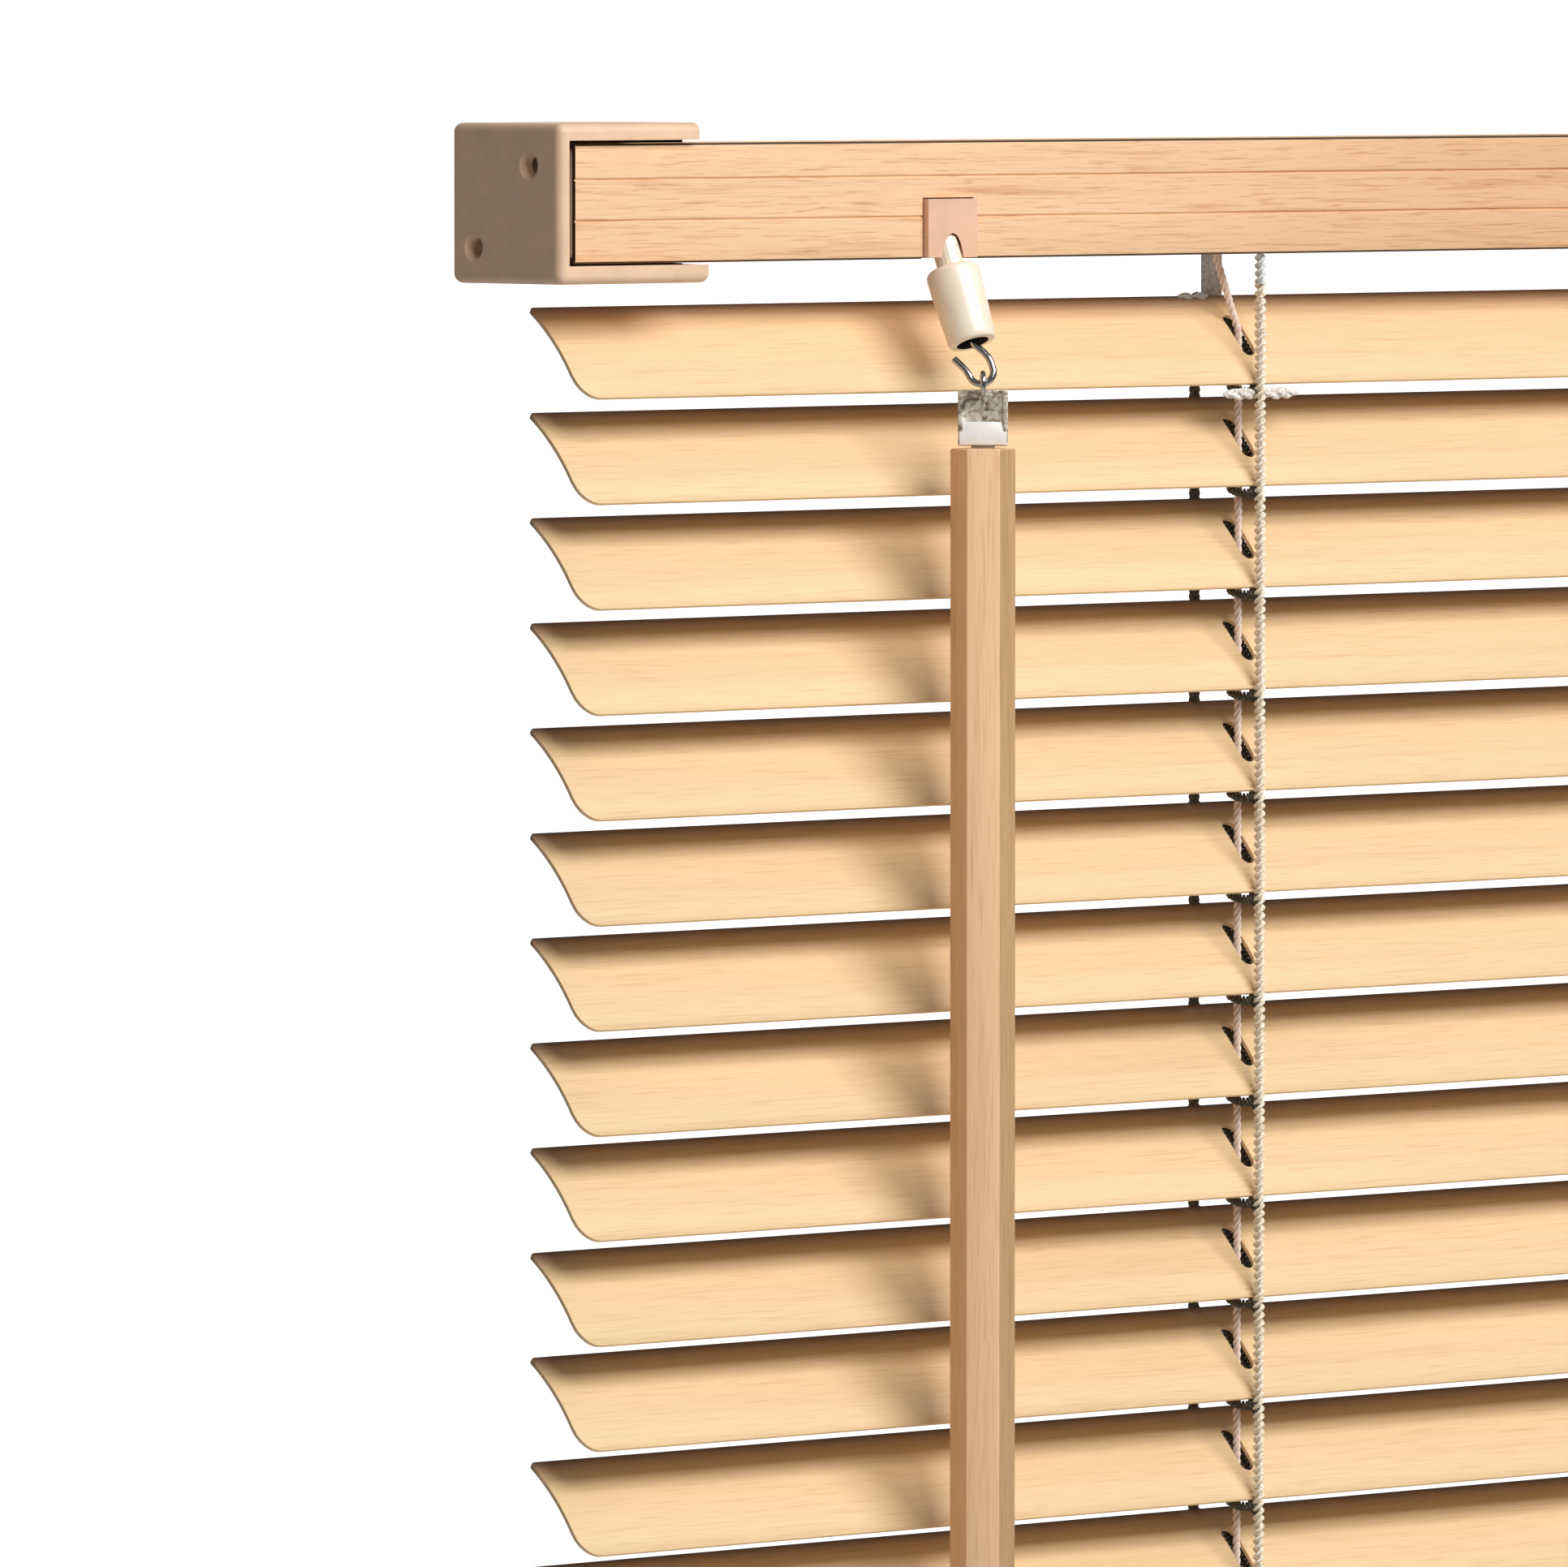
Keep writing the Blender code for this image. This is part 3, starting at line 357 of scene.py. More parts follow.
def mesh_of(name, verts, faces, smooth=30):
    mesh = bpy.data.meshes.new(name)
    mesh.from_pydata([tuple(v) for v in verts], [], faces)
    mesh.update()
    made = bmesh.new()
    made.from_mesh(mesh)
    bmesh.ops.remove_doubles(made, verts=made.verts, dist=1e-7)
    bmesh.ops.recalc_face_normals(made, faces=made.faces)
    made.to_mesh(mesh)
    made.free()
    if smooth:
        shade_smooth(mesh, smooth)
    return mesh


def swept(name, rings, caps=True, smooth=40):
    """A skin over rings of points, each ring closed."""
    verts = [point for ring in rings for point in ring]
    count = len(rings[0])
    faces = []
    for i in range(len(rings) - 1):
        for j in range(count):
            a, b = i * count + j, i * count + (j + 1) % count
            faces.append((a, b, b + count, a + count))
    if caps:
        faces.append(tuple(range(count)))
        faces.append(tuple(reversed(range((len(rings) - 1) * count, len(rings) * count))))
    return mesh_of(name, verts, faces, smooth)


def frames_along(points):
    """A tangent and two square directions at each point of a line, turned as little as possible."""
    frames = []
    side = None
    for i, point in enumerate(points):
        ahead = points[min(i + 1, len(points) - 1)] - points[max(i - 1, 0)]
        ahead.normalize()
        if side is None:
            pick = Vector((1, 0, 0)) if abs(ahead.x) < 0.8 else Vector((0, 1, 0))
            side = (pick - ahead * pick.dot(ahead)).normalized()
        else:
            side = (side - ahead * side.dot(ahead)).normalized()
        frames.append((point, ahead, side, ahead.cross(side)))
    return frames


def resampled(points, step):
    """The same line with points no further apart than step."""
    line = [Vector(points[0])]
    for a, b in zip(points, points[1:]):
        a, b = Vector(a), Vector(b)
        count = max(1, math.ceil((b - a).length / step))
        line += [a.lerp(b, i / count) for i in range(1, count + 1)]
    return line


def tube(name, points, radius, sides):
    """A round wire along a line."""
    rings = []
    for point, ahead, one, two in frames_along(points):
        rings.append([point + (one * math.cos(t) + two * math.sin(t)) * radius
                      for t in (2 * math.pi * k / sides for k in range(sides))])
    return swept(name, rings, smooth=60)


def ring_faces(base, rows, sides):
    """The faces of a closed tube whose rings of points start at base."""
    faces = []
    for i in range(rows - 1):
        for k in range(sides):
            a, b = base + i * sides + k, base + i * sides + (k + 1) % sides
            faces.append((a, b, b + sides, a + sides))
    faces.append(tuple(base + k for k in range(sides)))
    faces.append(tuple(base + (rows - 1) * sides + k for k in reversed(range(sides))))
    return faces


def turned_rings(profile, sides):
    """Rings of points round Z, one for each radius and height of a profile."""
    return [[Vector((r * math.cos(t), r * math.sin(t), z)) for t in
             (2 * math.pi * k / sides for k in range(sides))] for r, z in profile]


def twisted(name, points, radius, plies, lay, sides=8, step=0.35 * MM):
    """A cord of plies laid round each other. radius is that of the whole cord."""
    line = frames_along(resampled(points, step))
    verts, faces = [], []
    strand = radius * (0.5 if plies == 2 else 0.46)
    orbit = radius - strand
    for ply in range(plies):
        run = 0.0
        base = len(verts)
        for i, (point, ahead, one, two) in enumerate(line):
            if i:
                run += (point - line[i - 1][0]).length
            turn = 2 * math.pi * (run / lay + ply / plies)
            out = one * math.cos(turn) + two * math.sin(turn)
            across = ahead.cross(out)
            centre = point + out * orbit
            for k in range(sides):
                t = 2 * math.pi * k / sides
                verts.append(centre + (out * math.cos(t) + across * math.sin(t)) * strand)
        faces += ring_faces(base, len(line), sides)
    return mesh_of(name, verts, faces, 60)


def evaluated(obj, name):
    """The object's mesh with its modifiers applied. The object is removed."""
    graph = bpy.context.evaluated_depsgraph_get()
    mesh = bpy.data.meshes.new_from_object(obj.evaluated_get(graph))
    bpy.data.objects.remove(obj, do_unlink=True)
    mesh.name = name
    return mesh


def cut_away(obj, cutters):
    """The object's mesh less the cutters. The cutters are removed."""
    for cutter in cutters:
        boolean = obj.modifiers.new("cut", "BOOLEAN")
        boolean.operation = "DIFFERENCE"
        boolean.solver = "EXACT"
        boolean.object = cutter
    name = obj.name
    mesh = evaluated(obj, name)
    for cutter in cutters:
        bpy.data.objects.remove(cutter, do_unlink=True)
    return mesh


def block(name, low, high):
    """A box between two corners."""
    verts = [(x, y, z) for x in (low[0], high[0]) for y in (low[1], high[1]) for z in (low[2], high[2])]
    faces = [(0, 1, 3, 2), (4, 6, 7, 5), (0, 4, 5, 1), (2, 3, 7, 6), (0, 2, 6, 4), (1, 5, 7, 3)]
    return raw(name, mesh_of(name, verts, faces, 0))


def prism(name, outline, axis, start, end):
    """An outline extruded along an axis, X or Z. The outline is in the other two, in order."""
    def spot(p, at):
        return (at, p[0], p[1]) if axis == "X" else (p[0], p[1], at)
    rings = [[Vector(spot(p, at)) for p in outline] for at in (start, end)]
    return swept(name, rings, smooth=0)


def bevelled(obj, width, segments=3, angle=40):
    """Rounds the object's sharp edges and applies its modifiers."""
    bevel = obj.modifiers.new("bevel", "BEVEL")
    bevel.width = width
    bevel.segments = segments
    bevel.limit_method = "ANGLE"
    bevel.angle_limit = math.radians(angle)
    bevel.use_clamp_overlap = True
    mesh = evaluated(obj, obj.name)
    shade_smooth(mesh, 40)
    return mesh


def round_corner(centre, radius, start, end, steps=6):
    """Points of an arc, from start to end in degrees."""
    angles = [math.radians(start + (end - start) * i / steps) for i in range(steps + 1)]
    return [(centre[0] + radius * math.cos(a), centre[1] + radius * math.sin(a)) for a in angles]


def round_box(width, height, radius, steps=6):
    """The outline of a box with round corners, middle at zero."""
    x, y = width / 2 - radius, height / 2 - radius
    corners = [((x, -y), -90), ((x, y), 0), ((-x, y), 90), ((-x, -y), 180)]
    return [p for c, start in corners for p in round_corner(c, radius, start, start + 90, steps)]


# Slats
def slat_mesh():
    """A crowned strip, its front corners well rounded, with a slot for each lift cord."""
    half = SLAT_WIDTH / 2
    front, back = SLAT_CORNER, SLAT_BACK_CORNER
    rows = [(-half + front - front * math.cos(a), front - front * math.sin(a))
            for a in (math.radians(t) for t in (0, 8, 16, 25, 35, 46, 58, 72, 90))]
    flat = SLAT_WIDTH - front - back
    rows += [(-half + front + flat * i / 14, 0) for i in range(1, 14)]
    rows += [(half - back + back * math.sin(a), back - back * math.cos(a))
             for a in (math.radians(t) for t in (0, 30, 60, 90))]
    verts, faces = [], []
    for y, short in rows:
        reach = slat_half - short
        height = SLAT_CROWN * (1 - (y / half) ** 2)
        verts += [(x, y, height) for x in (-reach, reach)]
    for i in range(len(rows) - 1):
        a = 2 * i
        faces.append((a, a + 1, a + 3, a + 2))
    skin = raw("slat_skin", mesh_of("slat_skin", verts, faces, 0))
    solid = skin.modifiers.new("thickness", "SOLIDIFY")
    solid.thickness = SLAT_THICKNESS
    solid.offset = 1
    slots = []
    for side in (-1, 1):
        outline = [(x - side * cord_x, y) for x, y in
                   round_box(SLOT_WIDTH, SLOT_LENGTH, SLOT_WIDTH / 2 - 0.01 * MM)]
        slots.append(raw("slot", prism("slot", outline, "Z", -6 * MM, 6 * MM)))
    if skin.data.polygons[0].normal.z < 0:
        skin.data.flip_normals()
    mesh = cut_away(skin, slots)
    return bevelled(raw("slat", mesh), 0.16 * MM, 2, 50)


slat = slat_mesh()
paint(slat, SLAT_FOIL)
for number, height in enumerate(slat_heights, 1):
    node = f"slat_{number:02d}"
    place = Matrix.Translation((0, 0, height)) @ Matrix.Rotation(SLAT_TILT, 4, "X")
    made = new_object(f"{node}_foil", slat, SLAT_FOIL, node, place)
    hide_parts(node)

# Headrail
RAIL_WALL, RAIL_LIP = 1.0 * MM, 3.5 * MM
GROOVE_WIDTH, GROOVE_DEPTH = 0.55 * MM, 0.45 * MM
GROOVES = (7.5 * MM, 16.1 * MM)
TILTER_X = hook.x
TILTER_WINDOW = 7.3 * MM
half, top, bottom, wall = rail_high.y, rail_high.z, rail_low.z, RAIL_WALL
EDGE = 0.9 * MM
front = [(-half, top - EDGE)]
for down in GROOVES:
    z = top - down
    front += [(-half, z + GROOVE_WIDTH / 2 + 0.12 * MM), (-half + 0.12 * MM, z + GROOVE_WIDTH / 2),
              (-half + GROOVE_DEPTH, z), (-half + 0.12 * MM, z - GROOVE_WIDTH / 2),
              (-half, z - GROOVE_WIDTH / 2 - 0.12 * MM)]
front += [(-half, bottom + EDGE)]
outline = front + round_corner((-half + EDGE, bottom + EDGE), EDGE, 180, 270, 3)[1:]
outline += round_corner((half - EDGE, bottom + EDGE), EDGE, 270, 360, 3)
outline += round_corner((half - EDGE, top - EDGE), EDGE, 0, 90, 3)
outline += [(half - RAIL_LIP, top), (half - RAIL_LIP, top - wall), (half - wall, top - wall),
            (half - wall, bottom + wall), (-half + wall, bottom + wall), (-half + wall, top - wall),
            (-half + RAIL_LIP, top - wall), (-half + RAIL_LIP, top)]
outline += round_corner((-half + EDGE, top - EDGE), EDGE, 90, 180, 3)[:-1]
rail = raw("headrail_profile", prism("headrail_profile", outline, "X", rail_low.x, rail_high.x))
HOLE = 17 * MM
LOCK_X = slat_half - 110 * MM
reach = half - wall - 0.3 * MM
cutters = [
    block("window", (TILTER_X - TILTER_WINDOW, -half - 2 * wall, bottom - 2 * wall),
          (TILTER_X + TILTER_WINDOW, -4 * MM, top - 12 * MM)),
    block("lock_hole", (LOCK_X - 9 * MM, -reach, bottom - 2 * wall),
          (LOCK_X + 9 * MM, -3 * MM, bottom + 2 * wall)),
]
for side in (-1, 1):
    middle = side * (abs(ladder_x) + 3 * MM)
    cutters.append(block("ladder_hole", (middle - HOLE / 2, -reach, bottom - 2 * wall),
                         (middle + HOLE / 2, reach, bottom + 2 * wall)))
rail_mesh = cut_away(rail, cutters)
shade_smooth(rail_mesh, 20)
paint(rail_mesh, RAIL_FOIL, SHADE_PAINT, RAIL_EDGE_SHADE_PAINT)
for face in rail_mesh.polygons:
    if abs(face.normal.x) > 0.9 and abs(abs(face.center.x) - rail_high.x) < 0.1 * MM:
        # Painted shade: the rail's cut ends are near-black
        face.material_index = 1
    elif face.center.y < -half + EDGE and 0.35 < abs(face.normal.z) and face.normal.y < -0.1:
        # Painted shade: the rounded faces along the front's top and bottom edges are dark brown
        on_shaded_rounding = min(abs(face.center.z - top), abs(face.center.z - bottom)) < EDGE
        face.material_index = 2 if on_shaded_rounding else 0
headrail = new_object("headrail_foil", rail_mesh, RAIL_FOIL, "headrail")
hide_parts("headrail")

# Brackets
BRACKET_WALL, BRACKET_END_WALL, BRACKET_ROUND = 3.4 * MM, 2.7 * MM, 2.0 * MM
SCREW = 1.8 * MM
TOP_SHORT = 3.5 * MM
# Screw holes: Y and Z on the end wall, distance in from the end and Y on top, and the same and Z at the back
END_SCREWS = ((-4.5 * MM, -8.8 * MM), (13 * MM, -26 * MM))
TOP_SCREWS = ((25 * MM, -5 * MM), (12 * MM, 9 * MM))
BACK_SCREWS = ((25 * MM, -10 * MM), (12 * MM, -23 * MM))
COUNTERSINK = [(SCREW, -8 * MM), (SCREW, -1.4 * MM), (SCREW + 0.5 * MM, -0.8 * MM),
               (SCREW + 0.95 * MM, -0.25 * MM), (SCREW + 1.35 * MM, 0.05 * MM), (SCREW + 1.6 * MM, 1 * MM)]
PAST = 5 * MM


def bracket(side):
    """A box open to the room, with a shorter top flange, screw holes, and near-black strips inside its lips
    for painted shade.
    """
    name = "left" if side < 0 else "right"
    low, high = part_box("bracket_" + name)
    shell = bevelled(block("bracket", low, high), BRACKET_ROUND, 6)
    body = raw("bracket_shell", shell)
    inside_low, inside_high = low.copy(), high.copy()
    if side < 0:
        inside_low.x, inside_high.x = low.x + BRACKET_END_WALL, high.x + PAST
    else:
        inside_low.x, inside_high.x = low.x - PAST, high.x - BRACKET_END_WALL
    inside_low.y, inside_high.y = low.y - PAST, high.y - BRACKET_WALL
    inside_low.z, inside_high.z = bottom - 0.4 * MM, top + 0.7 * MM
    cutters = [block("inside", inside_low, inside_high)]
    outer = high.x if side > 0 else low.x
    inner = low.x if side > 0 else high.x
    past, short = sorted((inner - side * PAST, inner + side * TOP_SHORT))
    cutters.append(block("top_end", (past, low.y - PAST, inside_high.z - 0.3 * MM),
                         (short, high.y + PAST, high.z + PAST)))
    holes = [((outer, y, z), (side, 0, 0)) for y, z in END_SCREWS]
    holes += [((outer - side * inward, y, 0), (0, 0, 1)) for inward, y in TOP_SCREWS]
    holes += [((outer - side * inward, high.y, z), (0, 1, 0)) for inward, z in BACK_SCREWS]
    for where, out in holes:
        turn = Vector(out).to_track_quat("Z", "Y").to_matrix().to_4x4()
        hole = swept("hole", turned_rings(COUNTERSINK, 28), smooth=0)
        cutters.append(raw("hole", hole, Matrix.Translation(where) @ turn))
    mesh = cut_away(body, cutters)
    mesh = bevelled(raw("bracket_mesh", mesh), 0.35 * MM, 2, 55)
    paint(mesh, BEECH_PLASTIC)
    made = new_object(f"bracket_{name}_moulding", mesh, BEECH_PLASTIC, "headrail")
    weighted = made.modifiers.new("flat_faces", "WEIGHTED_NORMAL")
    weighted.keep_sharp = True
    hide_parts("bracket_" + name)
    left, right = sorted((outer - side * (BRACKET_END_WALL + 0.1 * MM),
                          inner + side * (TOP_SHORT + 1.2 * MM)))
    for level, start, end in (("upper", top + 0.1 * MM, top + 0.75 * MM),
                              ("lower", bottom - 0.45 * MM, bottom - 0.1 * MM)):
        # Near-black strips above and below the rail, just inside the lips: painted shade in the gaps
        shade_strip = block(f"rib_{level}", (left, -half + 2.2 * MM, start), (right, half - 2 * MM, end))
        mesh = evaluated(shade_strip, f"bracket_{name}_rib_{level}")
        new_object(f"bracket_{name}_rib_{level}", mesh, SHADE_PAINT, "headrail")


bracket(-1)
bracket(1)


# Tilter sleeve, hook, clip and wand
along_worm = Matrix.Translation(hook) @ Matrix.Rotation(-lean, 4, "X")
SLEEVE_TOP, SLEEVE_BOTTOM = 5.8 * MM, 5.1 * MM
SLEEVE_FROM, SLEEVE_TO = 8.1 * MM, 25.1 * MM
SHOULDER, RIM = 1.4 * MM, 0.5 * MM
STEM_END = 14.5 * MM
profile = [(3.25 * MM, SLEEVE_TO - 0.6 * MM), (3.4 * MM, SLEEVE_TO)]
profile += [(SLEEVE_TOP - SHOULDER + SHOULDER * math.sin(a), SLEEVE_TO - SHOULDER + SHOULDER * math.cos(a))
            for a in (math.radians(15 * i) for i in range(1, 7))]
profile += [(SLEEVE_TOP - 0.05 * MM, SLEEVE_TO - 4 * MM), (SLEEVE_BOTTOM + 0.1 * MM, SLEEVE_FROM + 1.2 * MM)]
profile += [(SLEEVE_BOTTOM - RIM + RIM * math.cos(a), SLEEVE_FROM + RIM - RIM * math.sin(a))
            for a in (math.radians(30 * i) for i in range(1, 4))]
profile += [(3.5 * MM, SLEEVE_FROM), (3.3 * MM, SLEEVE_FROM + 0.5 * MM), (3.2 * MM, SLEEVE_FROM + 5 * MM)]
profile += [(3.2 * MM, SLEEVE_TO - 0.6 * MM)]
sleeve_mesh = swept("wand_sleeve_moulding", turned_rings(profile, 48), caps=False, smooth=35)
paint(sleeve_mesh, SLEEVE_PLASTIC, SHADE_PAINT)
sleeve = new_object("wand_sleeve_moulding", sleeve_mesh, SLEEVE_PLASTIC, "tilter_worm",
                    along_worm)
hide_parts("wand_sleeve")
for face in sleeve.data.polygons:
    spot = face.center
    if math.hypot(spot.x, spot.y) < 3.45 * MM and spot.z < SLEEVE_TO - 1 * MM:
        # Painted shade: the bore inside the sleeve is near-black
        face.material_index = 1

HOOK_WIRE, HOOK_SLACK, HOOK_BEND = 0.75 * MM, 1.15 * MM, 2.6 * MM
FACING = math.radians(42)
low = HOOK_BEND - HOOK_SLACK
points = [(0, STEM_END + 5 * MM), (0, SLEEVE_FROM + 0.6 * MM), (0.2 * MM, SLEEVE_FROM - 0.2 * MM),
          (0.6 * MM, SLEEVE_FROM - 1 * MM), (1.6 * MM, SLEEVE_FROM - 2.4 * MM),
          (HOOK_BEND - 0.2 * MM, low + 2.6 * MM), (HOOK_BEND, low + 1.2 * MM)]
points += [(HOOK_BEND * math.cos(a), low + HOOK_BEND * math.sin(a))
           for a in (math.radians(-i * 180 / 16) for i in range(17))]
points += [(-HOOK_BEND - 0.3 * MM, low + 1.0 * MM), (-HOOK_BEND - 0.9 * MM, low + 2.2 * MM),
           (-HOOK_BEND - 2.2 * MM, low + 4.4 * MM)]
line = [along_worm @ Vector((a * math.cos(FACING), -a * math.sin(FACING), up)) for a, up in points]
wire = new_object("wand_hook_wire", tube("wand_hook_wire", resampled(line, 0.5 * MM), HOOK_WIRE, 16),
                  CHROME, "tilter_worm")
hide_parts("wand_hook")

CLIP_HALF, CLIP_THICK = 5.3 * MM, 1.4 * MM
CLIP_TOP = -2.4 * MM
wand_top = wand_high.z - hook.z
facing = Matrix.Translation(hook) @ Matrix.Rotation(-FACING, 4, "Z")
base = wand_top + 0.5 * MM
lip = 0.55 * MM
plate = raw("clip_plate", prism("clip_plate", [
    (-CLIP_HALF, -CLIP_THICK / 2), (CLIP_HALF, -CLIP_THICK / 2), (CLIP_HALF, CLIP_THICK / 2),
    (-CLIP_HALF, CLIP_THICK / 2)], "Z", base, CLIP_TOP))
room = block("clip_room", (-CLIP_HALF + 1.1 * MM, -CLIP_THICK, base + 2.6 * MM),
             (CLIP_HALF - 1.1 * MM, -CLIP_THICK / 2 + lip, CLIP_TOP - 1.3 * MM))
clip_mesh = bevelled(raw("clip", cut_away(plate, [room])), 0.3 * MM, 3, 40)
clip = new_object("wand_clip_plate", clip_mesh, CLIP_METAL, "wand", facing)
ramp = [(-CLIP_THICK / 2 + lip, base + 5.2 * MM), (-CLIP_THICK / 2 - 0.1 * MM, base + 2.7 * MM),
        (-CLIP_THICK / 2 - 0.35 * MM, base + 0.3 * MM), (-CLIP_THICK / 2 + lip, base + 0.1 * MM)]
foot = raw("clip_foot", prism("clip_foot", ramp, "X", -CLIP_HALF + 0.3 * MM, CLIP_HALF - 0.3 * MM))
foot_mesh = bevelled(foot, 0.15 * MM, 2, 30)
foot_mesh.name = "wand_clip_foot"
new_object("wand_clip_foot", foot_mesh, CLIP_WHITE, "wand", facing)
tang = raw("tang", prism("tang", [(-2.5 * MM, -0.7 * MM), (2.5 * MM, -0.7 * MM), (2.5 * MM, 0.7 * MM),
                                 (-2.5 * MM, 0.7 * MM)], "Z", base - 8 * MM, base))
tang_mesh = evaluated(tang, "wand_clip_tang")
new_object("wand_clip_tang", tang_mesh, STEEL, "wand", facing)
RING, RING_WIRE = 2.3 * MM, 0.6 * MM
RING_STEPS, RING_SIDES = 40, 14
side = facing.to_3x3() @ Vector((1, 0, 0))
rings = []
for k in range(RING_STEPS):
    t = 2 * math.pi * k / RING_STEPS
    point = facing @ Vector((0, RING * math.sin(t), HOOK_SLACK - RING + RING * math.cos(t)))
    out = facing.to_3x3() @ Vector((0, math.sin(t), math.cos(t)))
    rings.append([point + (out * math.cos(a) + side * math.sin(a)) * RING_WIRE
                  for a in (2 * math.pi * j / RING_SIDES for j in range(RING_SIDES))])
rings.append(rings[0])
new_object("wand_clip_ring", swept("wand_clip_ring", rings, caps=False), CHROME, "wand")
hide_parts("wand_clip")

WAND_RADIUS, EDGE_ROUND = 6.95 * MM, 0.45 * MM
FACET = math.radians(-132)    # the way one of the wand's flats faces at rest


def hexagon(radius, edge):
    """A hexagon with rounded edges, one flat turned towards FACET."""
    points = []
    for k in range(6):
        corner = FACET + math.radians(30 + 60 * k)
        inset = radius - edge / math.cos(math.radians(30))
        centre = (inset * math.cos(corner), inset * math.sin(corner))
        points += [(centre[0] + edge * math.cos(a), centre[1] + edge * math.sin(a))
                   for a in (corner + math.radians(t) for t in (-30, -10, 10, 30))]
    return points


length = wand_high.z - wand_low.z
END_ROUND, END_SOFT = 0.45 * MM, 0.12 * MM
levels = [(END_ROUND, 0), (END_SOFT, END_SOFT), (0, END_ROUND), (0, length - END_ROUND),
          (END_SOFT, length - END_SOFT), (END_ROUND, length)]
rings = [[Vector((x, y, wand_low.z + z)) for x, y in hexagon(WAND_RADIUS - inset, EDGE_ROUND)]
         for inset, z in levels]
middle = Vector((hook.x, hook.y, 0))
rings = [[point + middle for point in ring] for ring in rings]
body = raw("wand_body", swept("wand_body", rings, smooth=25))
slot_low = Vector((-2.8 * MM, -1.0 * MM, wand_high.z - 8 * MM))
slot = block("wand_slot", slot_low, (2.8 * MM, 1.0 * MM, wand_high.z + 5 * MM))
slot.matrix_world = Matrix.Translation(middle) @ Matrix.Rotation(-FACING, 4, "Z")
wand_mesh = cut_away(body, [slot])
shade_smooth(wand_mesh, 18)
paint(wand_mesh, WAND_FOIL, WAND_SHADED_FACET_PAINT)
for face in wand_mesh.polygons:
    if abs(face.normal.z) < 0.5:
        turn = (math.atan2(face.normal.y, face.normal.x) - FACET) / math.radians(60)
        # Painted shade: the flat to the right of the one facing the camera at rest, and the flat across from
        # it, take the darker copy
        face.material_index = 1 if round(turn) % 3 == 1 else 0
wand = new_object("wand_profile", wand_mesh, WAND_FOIL, "wand")
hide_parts("wand")
shade_smooth(NODES["wand_tip"].data, 30)
paint(NODES["wand_tip"].data, WAND_FOIL)


# Cords
# Above this height the ladder strings are drawn in the grey tail yarn: painted shade under the headrail
SHADED_TO = bottom - 6.5 * MM


# How a stretch of cord shortens as the blind rises: its body, the height that stays put, and what is left
RUN_MOTION = ("headrail", STACK_ANCHOR, KEEP)
FOOT_MOTION = ("ladder_foot", bottom_height, BOTTOM_KEEP)


def cord_piece(name, line, yarn, radius, plies, lay, motion=None):
    """One length of cord. It rides on the motion's body, or on the headrail if it has no motion; with a
    motion it gets a mesh of its own.
    """
    body, still, keep = motion or ("headrail", 0, 1)
    piece = new_object(name, twisted(name, line, radius, plies, lay), yarn, body)
    if motion:
        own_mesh(piece)
    return piece


def hang(name, x, y, look, radius, plies, lay, stands_for, foot_z, top_z):
    """A ladder string: its still top, the stretch that folds up, and the last one, to the bottom rail."""
    last = slat_heights[-1]
    pieces = [("head", top_z, SHADED_TO, None)] if top_z > SHADED_TO else []
    pieces += [("top", min(top_z, SHADED_TO), STACK_ANCHOR, None),
               ("run", STACK_ANCHOR, last, RUN_MOTION), ("foot", last, foot_z, FOOT_MOTION)]
    for part, start, end, motion in pieces:
        # Painted shade: the head takes the greyer tail yarn
        yarn = TAIL_AND_SHADE_YARN if part == "head" else look
        piece = cord_piece(f"{name}_{part}", [(x, y, start), (x, y, end)], yarn, radius, plies, lay, motion)
        if part == "run":
            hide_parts(*stands_for)


def slat_spot(height, across, above):
    """(Y, Z) of a point of a tilted slat."""
    cos, sin = math.cos(SLAT_TILT), math.sin(SLAT_TILT)
    return across * cos - above * sin, height + across * sin + above * cos


KNOT_LAY = 11 * MM


def spindle(name, centre, length, radius, look, body):
    """A short twist of yarn lying along X, thick in the middle of each half."""
    plies, steps, sides = 3, 48, 8
    verts, faces = [], []
    for ply in range(plies):
        base = len(verts)
        for i in range(steps + 1):
            along = i / steps
            swell = radius * (0.25 + 0.75 * abs(math.sin(2 * math.pi * along)) ** 0.7)
            turn = 2 * math.pi * (along * length / KNOT_LAY + ply / plies)
            out = Vector((0, math.cos(turn), math.sin(turn)))
            across = Vector((0, -math.sin(turn), math.cos(turn)))
            spot = centre + Vector(((along - 0.5) * length, 0, 0)) + out * swell * 0.5
            for k in range(sides):
                t = 2 * math.pi * k / sides
                verts.append(spot + (out * math.cos(t) + across * math.sin(t)) * swell * 0.55)
        faces += ring_faces(base, steps + 1, sides)
    new_object(name, mesh_of(name, verts, faces, 60), look, body)


